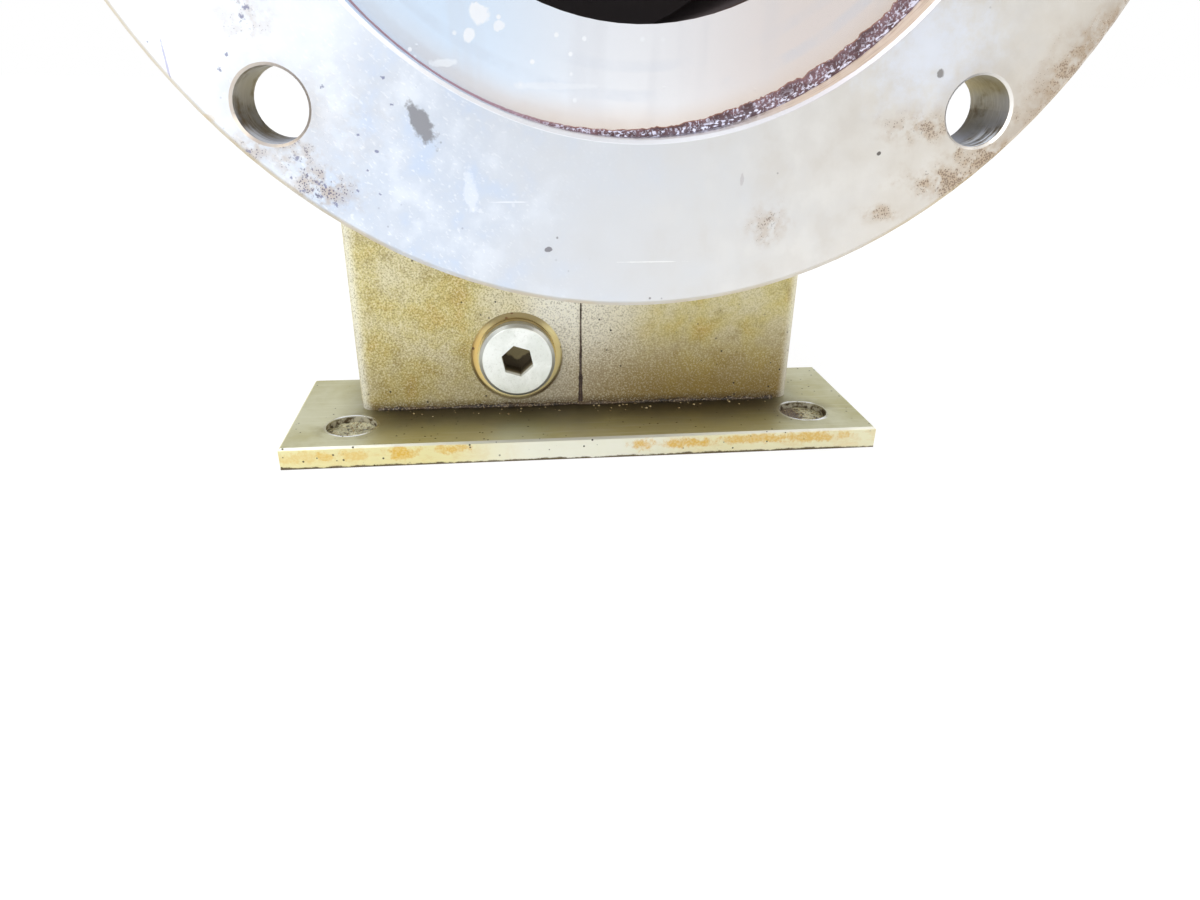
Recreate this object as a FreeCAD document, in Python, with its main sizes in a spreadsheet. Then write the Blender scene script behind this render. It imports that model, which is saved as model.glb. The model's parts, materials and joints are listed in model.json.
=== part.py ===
import FreeCAD, Part
import math
import os
import re

import Sketcher

# Worm gear reducer with a C-face motor flange, a housing in two halves and two foot bars.
# Millimetres. The origin is the centre of the four foot holes, on the plane that the feet stand on.
# +X runs along the output shaft, -Y points at the motor, +Z is up.

SIZES = {
    # Gearing
    "centre_distance": 63,
    "output_height": 80,
    "gear_module": 3.15,
    "wheel_teeth": 30,
    "pressure_angle": 20,
    "flank_clearance": 0.22,
    "root_gap": 0.65,
    "root_share": 1.2,
    "thread_length": 44,
    "thread_chamfer": 2.5,
    "face_width": 24,
    "rim_overhang": 1.8,
    "rim_thickness": 5.5,
    "rim_chamfer": 1.2,
    # Housing halves
    "housing_width": 125,
    "housing_depth": 136,
    "housing_top": 189,
    "shoulder_height": 118,
    "barrel_radius": 50,
    "corner_round": 4,
    "seam_chamfer": 0.35,
    "front_pad_thickness": 12,
    "boss_radius": 43,
    "boss_height": 3,
    "chamber_gap": 4.5,
    "chamber_half_width": 35,
    "tunnel_gap": 4,
    "sump_half_depth": 38,
    "sump_floor": 15,
    "rib_pocket_inner": 46.5,
    "rib_pocket_outer": 57,
    "rib_pocket_depth": 15,
    "rib_pocket_angle": 35,
    "rib_pockets": 8,
    # Screws that clamp the halves, and their dowels
    "clamp_thread": 8,
    "clamp_head": 13,
    "clamp_head_height": 8,
    "clamp_socket": 6,
    "clamp_socket_depth": 4,
    "clamp_hole_gap": 0.5,
    "clamp_recess": 14,
    "clamp_depth": 20,
    "clamp_tip_gap": 2,
    "long_seat": 38,
    "short_seat": 20,
    "clamp_low_depth": 57,
    "clamp_low_height": 38,
    "clamp_mid_depth": 59,
    "clamp_mid_wall": 3,
    "clamp_top_depth": 42,
    "clamp_top_wall": 5,
    "dowel_size": 8,
    "dowel_length": 20,
    "dowel_depth": 60,
    "dowel_height": 62,
    # Foot bars
    "foot_length": 160,
    "foot_width": 50,
    "foot_thickness": 6,
    "foot_overhang": 24,
    "foot_hole_size": 13.5,
    "foot_hole_span": 127,
    "foot_hole_setback": 13.5,
    "foot_edge": 0.6,
    "foot_screw_size": 8,
    "foot_screw_head": 16,
    "foot_screw_sink": 0.4,
    "foot_screw_length": 16,
    "foot_screw_socket": 5,
    "foot_screw_socket_depth": 3,
    "foot_screw_inner": 33,
    "foot_screw_outer": 52,
    "foot_screw_setback": 14,
    # Motor adapter
    "adapter_length": 91.5,
    "flange_size": 165.1,
    "flange_thickness": 12,
    "flange_edge": 0.8,
    "bolt_circle": 149.225,
    "bolt_hole": 10.3,
    "bolt_hole_edge": 0.4,
    "pilot_size": 114.3,
    "pilot_depth": 6.5,
    "pilot_chamfer": 0.5,
    "bell_bore": 83,
    "neck_wall": 6,
    "neck_taper": 3,
    "neck_round": 6,
    "neck_foot_round": 1.8,
    "rear_wall": 9,
    "rear_flange_radius": 66,
    "rear_flange_thickness": 12,
    "gusset_reach": 22,
    "gusset_thickness": 9,
    "gussets": 6,
    "motor_bolts": 4,
    "spigot_length": 9.5,
    "spigot_clearance": 0.02,
    "spigot_bore": 30,
    "adapter_bolt_circle": 114,
    "adapter_bolts": 6,
    "adapter_bolt_size": 8,
    "adapter_bolt_head": 13,
    "adapter_bolt_head_height": 5.3,
    "adapter_bolt_depth": 11,
    "adapter_bolt_gap": 0.5,
    # Worm shaft line
    "worm_seat": 20,
    "worm_collar": 27,
    "worm_bearing_outer": 52,
    "worm_bearing_width": 16.25,
    "worm_cone_width": 15,
    "worm_cup_width": 13,
    "worm_rollers": 12,
    "worm_stub": 18,
    "worm_stub_gap": 2.4,
    "worm_end_gap": 1,
    "shaft_chamfer": 1,
    "shim_thickness": 0.5,
    "shim_width": 4,
    "input_seal_outer": 38,
    "input_seal_width": 7,
    "seal_case": 1.5,
    "seal_lip_gap": 0.05,
    "seal_lip_rise": 2.5,
    "rear_cover_radius": 41,
    "rear_cover_thickness": 8,
    "rear_cover_edge": 1.5,
    "rear_cover_rim": 5,
    "rear_screw_circle": 68,
    "rear_screws": 4,
    "rear_screw_size": 6,
    "rear_screw_head": 10,
    "rear_screw_head_height": 6,
    "rear_screw_socket": 5,
    "rear_screw_socket_depth": 3,
    "rear_screw_depth": 11,
    "rear_screw_gap": 0.4,
    # Jaw coupling
    "coupling_size": 54,
    "hub_length": 25.4,
    "jaw_zone": 12.7,
    "jaw_turn": 90,
    "spider_legs": 6,
    "jaw_end_gap": 0.7,
    "jaw_angle": 38,
    "jaw_side_angle": 0.6,
    "jaw_inner": 13.4,
    "coupling_gap": 2,
    "spider_bore": 19,
    "spider_core": 26,
    "spider_end_gap": 0.35,
    "motor_bore": 15.875,
    "motor_key_width": 4.76,
    "motor_key_rise": 2.13,
    "worm_key_width": 6,
    "worm_key_height": 6,
    "worm_key_length": 18,
    "worm_key_depth": 3.5,
    "key_top_gap": 0.3,
    "set_screw_size": 6,
    "set_screw_length": 8,
    "set_screw_setback": 10,
    "set_screw_socket": 3,
    "set_screw_socket_depth": 3,
    # Output shaft line
    "wheel_seat": 35,
    "hub_width": 40,
    "hub_boss": 62,
    "hub_web": 14,
    "hub_ring": 4.5,
    "wheel_key_width": 10,
    "wheel_key_height": 8,
    "wheel_key_length": 32,
    "wheel_key_depth": 5,
    "lock_screw_size": 5,
    "lock_screw_length": 8,
    "lock_screws": 4,
    "output_seat": 30,
    "output_collar": 42,
    "sleeve_wall": 5,
    "output_bearing_outer": 62,
    "output_bearing_width": 17.25,
    "output_cone_width": 16,
    "output_cup_width": 14,
    "output_rollers": 14,
    "output_end_gap": 1,
    "retaining_ring_width": 2,
    "retaining_ring_depth": 2,
    "retaining_ring_wall": 4.5,
    "retaining_ring_gap": 14,
    "output_seal_width": 7,
    "output_seal_recess": 0.5,
    "end_cap_plate": 2,
    "end_cap_rim": 3,
    "output_extension": 25,
    "output_extension_length": 50,
    "output_shoulder_gap": 1,
    "output_key_width": 8,
    "output_key_depth": 4,
    "output_key_length": 40,
    "output_key_setback": 4,
    # Rollers, alike in the four bearings
    "roller_radius": 3.5,
    "roller_length": 9.4,
    "roller_taper": 1.5,
    "roller_tilt": 11,
    "roller_gap": 0.12,
    "cone_rib_height": 2.2,
    "cage_sheet": 0.8,
    "cage_offset": 1.5,
    "cage_margin": 1.3,
    "cage_window_gap": 0.2,
    # Oil plugs
    "plug_thread": 16,
    "plug_thread_length": 12,
    "plug_collar": 21,
    "plug_collar_height": 3.6,
    "plug_chamfer": 1,
    "plug_socket": 8,
    "plug_socket_depth": 7,
    "plug_socket_turn": 10,
    "plug_washer": 22,
    "plug_washer_thickness": 1.5,
    "plug_washer_gap": 0.3,
    "plug_spot_face": 25.5,
    "plug_spot_depth": 0.8,
    "drain_offset": 18,
    "drain_height": 21,
    "level_offset": 30,
    "level_height": 84,
    "breather_offset": 9,
    "breather_rim": 1.5,
    "breather_boss_depth": 19,
    "breather_bore": 4,
    "breather_cap": 19,
    "breather_cap_height": 7,
    "breather_neck": 13,
    "breather_neck_height": 2.5,
}

# Places and sizes that follow from the driving sizes, as formulas
DERIVED = {
    "worm_height": "output_height + centre_distance",
    "half_width": "housing_width / 2",
    "half_depth": "housing_depth / 2",
    "boss_face": "half_width + boss_height",
    "shoulder_drop": "worm_height - shoulder_height",
    "shoulder_reach": "sqrt(half_width ^ 2 + shoulder_drop ^ 2)",
    "shoulder_turn": "acos(barrel_radius / shoulder_reach) - atan(shoulder_drop / half_width)",
    "flange_face": "0 - half_depth - adapter_length",
    "rear_flange_face": "0 - half_depth - rear_flange_thickness",
    "bell_floor": "0 - half_depth - rear_wall",
    "neck_radius": "bell_bore / 2 + neck_wall",
    "wheel_radius": "gear_module * wheel_teeth / 2",
    "worm_radius": "centre_distance - wheel_radius",
    "worm_tip": "worm_radius + gear_module",
    "worm_root": "worm_radius - root_share * gear_module",
    "wheel_throat": "wheel_radius + gear_module",
    "wheel_outer": "wheel_throat + rim_overhang",
    "wheel_root": "centre_distance - worm_tip - root_gap",
    "rim_bore": "wheel_root - rim_thickness",
    "chamber_radius": "wheel_outer + chamber_gap",
    "tunnel_radius": "worm_tip + tunnel_gap",
    "clamp_mid_height": "worm_height - worm_bearing_outer / 2 - clamp_thread / 2 - clamp_mid_wall",
    "clamp_top_height": "worm_height + worm_bearing_outer / 2 + clamp_thread / 2 + clamp_top_wall",
    "worm_cup_back": "half_depth - spigot_length - shim_thickness",
    "worm_cone_back": "worm_cup_back - worm_bearing_width",
    "worm_rear_end": "worm_cone_back + worm_cone_width + worm_end_gap",
    "worm_hub_back": "bell_floor - coupling_gap",
    "worm_hub_front": "worm_hub_back - hub_length",
    "motor_hub_back": "worm_hub_front - jaw_zone",
    "motor_hub_front": "motor_hub_back - hub_length",
    "worm_stub_end": "worm_hub_front + worm_stub_gap",
    "worm_stub_start": "bell_floor",
    "seal_back": "boss_face - output_seal_recess - output_seal_width",
    "ring_back": "seal_back - retaining_ring_width",
    "output_cup_back": "ring_back - shim_thickness",
    "output_cone_back": "output_cup_back - output_bearing_width",
    "output_left_end": "output_cone_back + output_cone_width + output_end_gap",
    "output_step": "boss_face + output_shoulder_gap",
    "output_right_end": "output_step + output_extension_length",
    "foot_front": "half_depth + foot_overhang",
    "foot_back": "foot_front - foot_width",
    "foot_hole_place": "foot_front - foot_hole_setback",
    "foot_screw_place": "half_depth - foot_screw_setback",
    "jaw_length": "jaw_zone - jaw_end_gap",
    "leg_angle": "360 / spider_legs - jaw_angle - 2 * jaw_side_angle",
    "plug_stand": "plug_washer_thickness - plug_spot_depth",
    "breather_place": "plug_spot_face / 2 + breather_offset",
}

ROOT_THREE = "sqrt(3)"
EIGHTH_TURN = 45
SIXTH_TURN = 60
QUARTER = 90
HALF_TURN = 180
FULL_TURN = 360
SAME = 1e-4
ROLL_STEPS = 60
HALVINGS = 30
GAP_PLANES = 5
GAP_RINGS = 5
WORD = re.compile(r"[a-z][a-z_]*(?![a-z_(])")

doc = FreeCAD.newDocument("worm_gear_reducer")
sheet = doc.addObject("Spreadsheet::Sheet", "Sizes")
for row, (alias, size) in enumerate(SIZES.items(), 1):
    sheet.set(f"A{row}", alias.replace("_", " "))
    sheet.set(f"B{row}", str(size))
    sheet.setAlias(f"B{row}", alias)
doc.recompute()

nodes = []


def bound(formula):
    """Formula with each size turned into a reference to its cell and each derived name written out."""
    def swap(match):
        name = match.group(0)
        if name in SIZES:
            return f"Sizes.{name}"
        if name in DERIVED:
            return f"({bound(DERIVED[name])})"
        return name
    return WORD.sub(swap, formula)


def number(formula):
    """Value of a formula, in millimetres or degrees."""
    return float(sheet.evalExpression(bound(formula)))


def spot(x, y, z):
    """Point at three formulas."""
    return FreeCAD.Vector(number(x), number(y), number(z))


def node(item):
    """Count an object among the sub-parts that are written out."""
    nodes.append(item)
    return item


def new_body(label):
    return doc.addObject("PartDesign::Body", label)


def origin_part(body, role):
    """The body's own origin plane or axis of that role."""
    return next(part for part in body.Origin.OriginFeatures if part.Role == role)


def seat(body, x="0", y="0", z="0", turn=0, about=(0, 0, 1)):
    """Give a body its place: formulas for the point, an angle about an axis for the turn."""
    body.Placement = FreeCAD.Placement(FreeCAD.Vector(), FreeCAD.Rotation(FreeCAD.Vector(*about), turn))
    for axis, formula in zip("xyz", (x, y, z)):
        body.setExpression(f"Placement.Base.{axis}", bound(formula))
    return body


def sketch_on(body, plane, name, lift="0", shift="0"):
    """Sketch on an origin plane, lifted along its normal and shifted along its upright axis."""
    sketch = body.newObject("Sketcher::SketchObject", name)
    sketch.AttachmentSupport = [(origin_part(body, plane), "")]
    sketch.MapMode = "FlatFace"
    sketch.setExpression("AttachmentOffset.Base.z", bound(lift))
    sketch.setExpression("AttachmentOffset.Base.y", bound(shift))
    return sketch


def pin(sketch, geometry, end, x, y):
    """Tie one end of an edge to a place given by two formulas."""
    for kind, formula in (("DistanceX", x), ("DistanceY", y)):
        tie = sketch.addConstraint(Sketcher.Constraint(kind, -1, 1, geometry, end, number(formula)))
        sketch.setExpression(f"Constraints[{tie}]", bound(formula))


def outline(sketch, corners):
    """Closed outline through corners (x, y), or (x, y, radius, centre x, centre y) where an arc starts."""
    places = [FreeCAD.Vector(number(corner[0]), number(corner[1]), 0) for corner in corners]
    first = sketch.GeometryCount
    ends = []
    for index, corner in enumerate(corners):
        start = places[index]
        stop = places[(index + 1) % len(corners)]
        if len(corner) == 2:
            sketch.addGeometry(Part.LineSegment(start, stop), False)
            ends.append((1, 2))
        else:
            centre = FreeCAD.Vector(number(corner[3]), number(corner[4]), 0)
            ring = Part.Circle(centre, FreeCAD.Vector(0, 0, 1), number(corner[2]))
            forward = (start - centre).cross(stop - centre).z > 0
            ends.append((1, 2) if forward else (2, 1))
            first_end, last_end = (start, stop) if forward else (stop, start)
            arc = Part.ArcOfCircle(ring, ring.parameter(first_end), ring.parameter(last_end))
            sketch.addGeometry(arc, False)
    for index, corner in enumerate(corners):
        following = (index + 1) % len(corners)
        sketch.addConstraint(Sketcher.Constraint(
            "Coincident", first + index, ends[index][1], first + following, ends[following][0]))
        pin(sketch, first + index, ends[index][0], corner[0], corner[1])
        if len(corner) > 2:
            chord = places[following] - places[index]
            steep = abs(chord.y) > abs(chord.x)
            kind, formula = ("DistanceX", corner[3]) if steep else ("DistanceY", corner[4])
            tie = sketch.addConstraint(Sketcher.Constraint(kind, -1, 1, first + index, 3, number(formula)))
            sketch.setExpression(f"Constraints[{tie}]", bound(formula))
    return sketch


def circles(sketch, diameter, centres):
    """Circles of one diameter at the given centres."""
    for x, y in centres:
        place = FreeCAD.Vector(number(x), number(y), 0)
        ring = sketch.addGeometry(Part.Circle(place, FreeCAD.Vector(0, 0, 1), number(diameter) / 2), False)
        pin(sketch, ring, 3, x, y)
        tie = sketch.addConstraint(Sketcher.Constraint("Diameter", ring, number(diameter)))
        sketch.setExpression(f"Constraints[{tie}]", bound(diameter))
    return sketch


def hexagon(sketch, across, x="0", y="0", turn="0"):
    """Hexagon of a width across flats, turned by a formula in degrees."""
    corners = []
    for corner in range(6):
        angle = f"(({turn}) + {corner * SIXTH_TURN}) * 1 deg"
        corners.append((f"{x} + {across} / {ROOT_THREE} * cos({angle})",
                        f"{y} + {across} / {ROOT_THREE} * sin({angle})"))
    return outline(sketch, corners)


def sector(sketch, inner, outer, angle, turn):
    """Piece of a ring between two radii, an angle wide and turned to a place."""
    low = f"(({turn}) - ({angle}) / 2) * 1 deg"
    high = f"(({turn}) + ({angle}) / 2) * 1 deg"
    return outline(sketch, [
        (f"({inner}) * cos({low})", f"({inner}) * sin({low})"),
        (f"({outer}) * cos({low})", f"({outer}) * sin({low})", outer, "0", "0"),
        (f"({outer}) * cos({high})", f"({outer}) * sin({high})"),
        (f"({inner}) * cos({high})", f"({inner}) * sin({high})", inner, "0", "0"),
    ])


def extrude(body, kind, sketch, length, backwards=False, both=False):
    """Pad or pocket a sketch by a length, along its normal, against it or both ways."""
    feature = body.newObject(f"PartDesign::{kind}", f"{sketch.Name}_{kind.lower()}")
    feature.Profile = sketch
    feature.setExpression("Length", bound(length))
    feature.SideType = "Symmetric" if both else "One side"
    feature.Reversed = backwards
    body.Tip = feature
    return feature


def pad(body, sketch, length, backwards=False, both=False):
    return extrude(body, "Pad", sketch, length, backwards, both)


def pocket(body, sketch, length, backwards=False, both=False):
    return extrude(body, "Pocket", sketch, length, backwards, both)


def spin(body, kind, sketch, axis="H_Axis"):
    """Revolution or groove of a sketch about one of its axes."""
    feature = body.newObject(f"PartDesign::{kind}", f"{sketch.Name}_{kind.lower()}")
    feature.Profile = sketch
    feature.ReferenceAxis = (sketch, [axis])
    feature.Angle = FULL_TURN
    body.Tip = feature
    return feature


def around(body, features, copies, axis="X_Axis"):
    """Repeat features evenly about one of the body's origin axes."""
    pattern = body.newObject("PartDesign::PolarPattern", f"{features[0].Name}_around")
    pattern.Originals = features
    pattern.Axis = (origin_part(body, axis), [""])
    pattern.Angle = FULL_TURN
    pattern.setExpression("Occurrences", bound(copies))
    body.Tip = pattern
    return pattern


def edge_work(body, kind, size, chosen):
    """Fillet or chamfer the edges of the body so far that a test picks."""
    doc.recompute()
    base = body.Tip
    picked = [f"Edge{place}" for place, edge in enumerate(base.Shape.Edges, 1) if chosen(edge)]
    feature = body.newObject(f"PartDesign::{kind}", f"{base.Name}_{kind.lower()}")
    feature.Base = (base, picked)
    feature.setExpression("Radius" if kind == "Fillet" else "Size", bound(size))
    body.Tip = feature
    return feature


def near(value, formula):
    """True where a value is that of a formula."""
    return abs(value - number(formula)) < SAME


def turned(label, profile):
    """Turned piece along X: a closed profile of (place along the axis, radius), spun about the axis."""
    body = new_body(label)
    spin(body, "Revolution", outline(sketch_on(body, "XZ_Plane", f"{label}_profile"), profile))
    return body


def on_worm_axis(body, along="0", flip=False):
    """Seat a turned piece on the worm axis, its own X along +Y, or along -Y when flipped."""
    return seat(body, y=along, z="worm_height", turn=-QUARTER if flip else QUARTER)


def on_output_axis(body, along="0", flip=False):
    """Seat a turned piece on the output axis, its own X along +X, or along -X when flipped."""
    return seat(body, x=along, z="output_height", turn=HALF_TURN if flip else 0)


def group(label, parts):
    """One node of several separate pieces."""
    item = doc.addObject("Part::Compound", label)
    item.Links = parts
    return node(item)


def screw_set(label, master, places, toward):
    """One node of like screws: the master's solid at each place, heads pointing along a direction."""
    turn = FreeCAD.Rotation(FreeCAD.Vector(1, 0, 0), FreeCAD.Vector(*toward))
    copies = []
    for place in places:
        solid = master.Shape.copy()
        solid.Placement = FreeCAD.Placement(place, turn)
        copies.append(solid)
    item = doc.addObject("Part::Feature", label)
    item.Shape = Part.makeCompound(copies)
    return node(item)


def socket_screw(label, thread, length, head, head_height, socket, socket_depth):
    """Cap screw along X: its head seat at the origin, the head towards +X, with a hexagon socket."""
    body = turned(label, [
        (f"0 - ({length})", "0"), (f"0 - ({length})", f"{thread} / 2"), ("0", f"{thread} / 2"),
        ("0", f"{head} / 2"), (head_height, f"{head} / 2"), (head_height, "0"),
    ])
    pocket(body, hexagon(sketch_on(body, "YZ_Plane", f"{label}_socket", lift=head_height), socket),
           socket_depth)
    doc.recompute()
    return body


def make_housing_half(label, side):
    """One half of the housing. side is 1 for the half at +X and -1 for the half at -X."""
    body = new_body(label)
    away = side > 0

    def across(formula):
        return f"{side} * ({formula})"

    # Block under the shoulders, with the worm's barrel on top
    top_flat = "sqrt(barrel_radius ^ 2 - (housing_top - worm_height) ^ 2)"
    block = outline(sketch_on(body, "XZ_Plane", f"{label}_block"), [
        ("0", "foot_thickness"),
        (across("half_width"), "foot_thickness"),
        (across("half_width"), "shoulder_height"),
        (across("barrel_radius * cos(shoulder_turn)"), "worm_height + barrel_radius * sin(shoulder_turn)",
         "barrel_radius", "0", "worm_height"),
        (across(top_flat), "housing_top"),
        ("0", "housing_top"),
    ])
    pad(body, block, "housing_depth", both=True)

    def outer_edge(edge):
        box = edge.BoundBox
        on_face = near(abs(box.YMin), "half_depth") and near(abs(box.YMax), "half_depth")
        one_face = on_face and box.YMin * box.YMax > 0
        low = near(box.ZMax, "foot_thickness")
        on_seam = abs(box.XMin) < SAME and abs(box.XMax) < SAME
        return one_face and not low and not on_seam

    edge_work(body, "Fillet", "corner_round", outer_edge)

    # Round pad that the motor adapter bolts to
    front = sketch_on(body, "XZ_Plane", f"{label}_front", lift="half_depth")
    outline(front, [
        ("0", "worm_height - rear_flange_radius", "rear_flange_radius", "0", "worm_height"),
        (across("rear_flange_radius"), "worm_height", "rear_flange_radius", "0", "worm_height"),
        ("0", "worm_height + rear_flange_radius"),
    ])
    pad(body, front, "front_pad_thickness", backwards=True)

    # Broken edge along the seam between the halves
    def seam_edge(edge):
        box = edge.BoundBox
        on_seam = abs(box.XMin) < SAME and abs(box.XMax) < SAME
        upright = near(abs(box.YMin), "half_depth") and abs(box.YMax - box.YMin) < SAME
        return on_seam and upright and near(box.ZMin, "foot_thickness")

    edge_work(body, "Chamfer", "seam_chamfer", seam_edge)

    # Boss round the output bearing
    boss = sketch_on(body, "YZ_Plane", f"{label}_boss", lift=across("half_width"))
    circles(boss, "2 * boss_radius", [("0", "output_height")])
    pad(body, boss, "boss_height", backwards=not away)

    # Ring of pockets round the boss, which leaves ribs between them
    ribs = sketch_on(body, "YZ_Plane", f"{label}_ribs", lift=across("half_width"), shift="output_height")
    sector(ribs, "rib_pocket_inner", "rib_pocket_outer", "rib_pocket_angle", "180 / rib_pockets")
    first = pocket(body, ribs, "rib_pocket_depth", backwards=not away)
    pattern = body.newObject("PartDesign::PolarPattern", f"{label}_rib_ring")
    pattern.Originals = [first]
    pattern.Axis = (ribs, ["N_Axis"])
    pattern.Angle = FULL_TURN
    pattern.setExpression("Occurrences", bound("rib_pockets"))
    body.Tip = pattern

    # Tunnel for the worm, with a bearing bore at each end
    bearing = "worm_bearing_outer / 2"
    tunnel = sketch_on(body, "YZ_Plane", f"{label}_tunnel", shift="worm_height")
    outline(tunnel, [
        ("0 - half_depth", "0"), ("0 - half_depth", bearing), ("0 - worm_cone_back", bearing),
        ("0 - worm_cone_back", "tunnel_radius"), ("worm_cone_back", "tunnel_radius"),
        ("worm_cone_back", bearing), ("half_depth", bearing), ("half_depth", "0"),
    ])
    spin(body, "Groove", tunnel)

    # Wheel chamber, oil sump and output bearing bore
    chamber = sketch_on(body, "YZ_Plane", f"{label}_chamber")
    circles(chamber, "2 * chamber_radius", [("0", "output_height")])
    pocket(body, chamber, "chamber_half_width", backwards=away)
    sump = sketch_on(body, "YZ_Plane", f"{label}_sump")
    outline(sump, [
        ("0 - sump_half_depth", "sump_floor"), ("sump_half_depth", "sump_floor"),
        ("sump_half_depth", "output_height"), ("0 - sump_half_depth", "output_height"),
    ])
    pocket(body, sump, "chamber_half_width", backwards=away)
    bore = sketch_on(body, "YZ_Plane", f"{label}_bore")
    circles(bore, "output_bearing_outer", [("0", "output_height")])
    pocket(body, bore, "boss_face", backwards=away)
    groove = sketch_on(body, "XZ_Plane", f"{label}_ring_groove", shift="output_height")
    outline(groove, [
        (across("ring_back"), "output_bearing_outer / 2 - retaining_ring_depth"),
        (across("seal_back"), "output_bearing_outer / 2 - retaining_ring_depth"),
        (across("seal_back"), "output_bearing_outer / 2 + retaining_ring_depth"),
        (across("ring_back"), "output_bearing_outer / 2 + retaining_ring_depth"),
    ])
    spin(body, "Groove", groove)

    # Holes of the clamp screws and dowels
    low = [("clamp_low_depth", "clamp_low_height"), ("0 - clamp_low_depth", "clamp_low_height")]
    middle = [("clamp_mid_depth", "clamp_mid_height"), ("0 - clamp_mid_depth", "clamp_mid_height")]
    top = [("clamp_top_depth", "clamp_top_height"), ("0 - clamp_top_depth", "clamp_top_height")]
    clamps = sketch_on(body, "YZ_Plane", f"{label}_clamps")
    if away:
        circles(clamps, "clamp_thread", low + middle + top)
        pocket(body, clamps, "clamp_depth", backwards=True)
    else:
        circles(clamps, "clamp_thread + 2 * clamp_hole_gap", low + middle + top)
        pocket(body, clamps, "half_width")
        for name, spots, place in (("long", low + middle, "long_seat"), ("short", top, "short_seat")):
            recess = sketch_on(body, "YZ_Plane", f"{label}_{name}_recess", lift=across(place))
            circles(recess, "clamp_recess", spots)
            pocket(body, recess, f"half_width - {place}")
    dowels = sketch_on(body, "YZ_Plane", f"{label}_dowels")
    circles(dowels, "dowel_size", [("dowel_depth", "dowel_height"), ("0 - dowel_depth", "dowel_height")])
    pocket(body, dowels, "dowel_length / 2", backwards=away)

    # Threads for the adapter, the rear cover and the feet
    bolts = sketch_on(body, "XZ_Plane", f"{label}_adapter_threads", lift="half_depth", shift="worm_height")
    circles(bolts, "adapter_bolt_size", [
        (across(f"adapter_bolt_circle / 2 * cos({angle} deg)"), f"adapter_bolt_circle / 2 * sin({angle} deg)")
        for angle in (-SIXTH_TURN, 0, SIXTH_TURN)])
    pocket(body, bolts, "front_pad_thickness")
    screws = sketch_on(body, "XZ_Plane", f"{label}_cover_threads", lift="0 - half_depth", shift="worm_height")
    circles(screws, "rear_screw_size", [
        (across(f"rear_screw_circle / 2 * cos({angle} deg)"), f"rear_screw_circle / 2 * sin({angle} deg)")
        for angle in (-EIGHTH_TURN, EIGHTH_TURN)])
    pocket(body, screws, "rear_screw_depth", backwards=True)
    feet = sketch_on(body, "XY_Plane", f"{label}_foot_threads", lift="foot_thickness")
    circles(feet, "foot_screw_size", [
        (across(place), f"{end} * (foot_screw_place)")
        for place in ("foot_screw_inner", "foot_screw_outer") for end in (1, -1)])
    pocket(body, feet, "foot_screw_length - foot_thickness", backwards=True)
    return body


def make_plug_hole(body, label, plane, lift, place, backwards, depth):
    """Spot face and threaded hole of an oil plug, from an outer face inwards."""
    face = sketch_on(body, plane, f"{label}_spot", lift=lift)
    circles(face, "plug_spot_face", [place])
    pocket(body, face, "plug_spot_depth", backwards=backwards)
    hole = sketch_on(body, plane, f"{label}_hole", lift=lift)
    circles(hole, "plug_thread", [place])
    pocket(body, hole, depth, backwards=backwards)


def make_housing():
    """Both halves, with the oil holes: drain in front, level behind, breather on top."""
    left = make_housing_half("housing_left", -1)
    make_plug_hole(left, "drain", "XZ_Plane", "half_depth", ("0 - drain_offset", "drain_height"), False,
                   "half_depth - sump_half_depth")
    right = make_housing_half("housing_right", 1)
    make_plug_hole(right, "level", "XZ_Plane", "0 - half_depth", ("level_offset", "level_height"), True,
                   "half_depth - sump_half_depth")
    boss = sketch_on(right, "XY_Plane", "breather_boss", lift="housing_top")
    circles(boss, "plug_spot_face + 2 * breather_rim", [("breather_place", "0")])
    pad(right, boss, "breather_boss_depth", backwards=True)
    make_plug_hole(right, "breather", "XY_Plane", "housing_top", ("breather_place", "0"), False,
                   "housing_top - worm_height")
    for half in (left, right):
        node(half)


def make_clamps():
    """Screws and dowels that hold the halves together."""
    ends = (1, -1)
    for name, place, spots in (
            ("long", "long_seat", (("clamp_low_depth", "clamp_low_height"),
                                   ("clamp_mid_depth", "clamp_mid_height"))),
            ("short", "short_seat", (("clamp_top_depth", "clamp_top_height"),))):
        master = socket_screw(f"{name}_clamp_screw", "clamp_thread",
                              f"{place} + clamp_depth - clamp_tip_gap", "clamp_head",
                              "clamp_head_height", "clamp_socket", "clamp_socket_depth")
        places = [spot(f"0 - {place}", f"{end} * {depth}", height) for depth, height in spots for end in ends]
        screw_set(f"housing_screws_{name}", master, places, (-1, 0, 0))
    pins = []
    for end, side in (("front", -1), ("rear", 1)):
        dowel = turned(f"{end}_dowel", [
            ("0 - dowel_length / 2", "0"), ("0 - dowel_length / 2", "dowel_size / 2"),
            ("dowel_length / 2", "dowel_size / 2"), ("dowel_length / 2", "0")])
        pins.append(seat(dowel, y=f"{side} * dowel_depth", z="dowel_height"))
    group("dowel_pins", pins)


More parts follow.
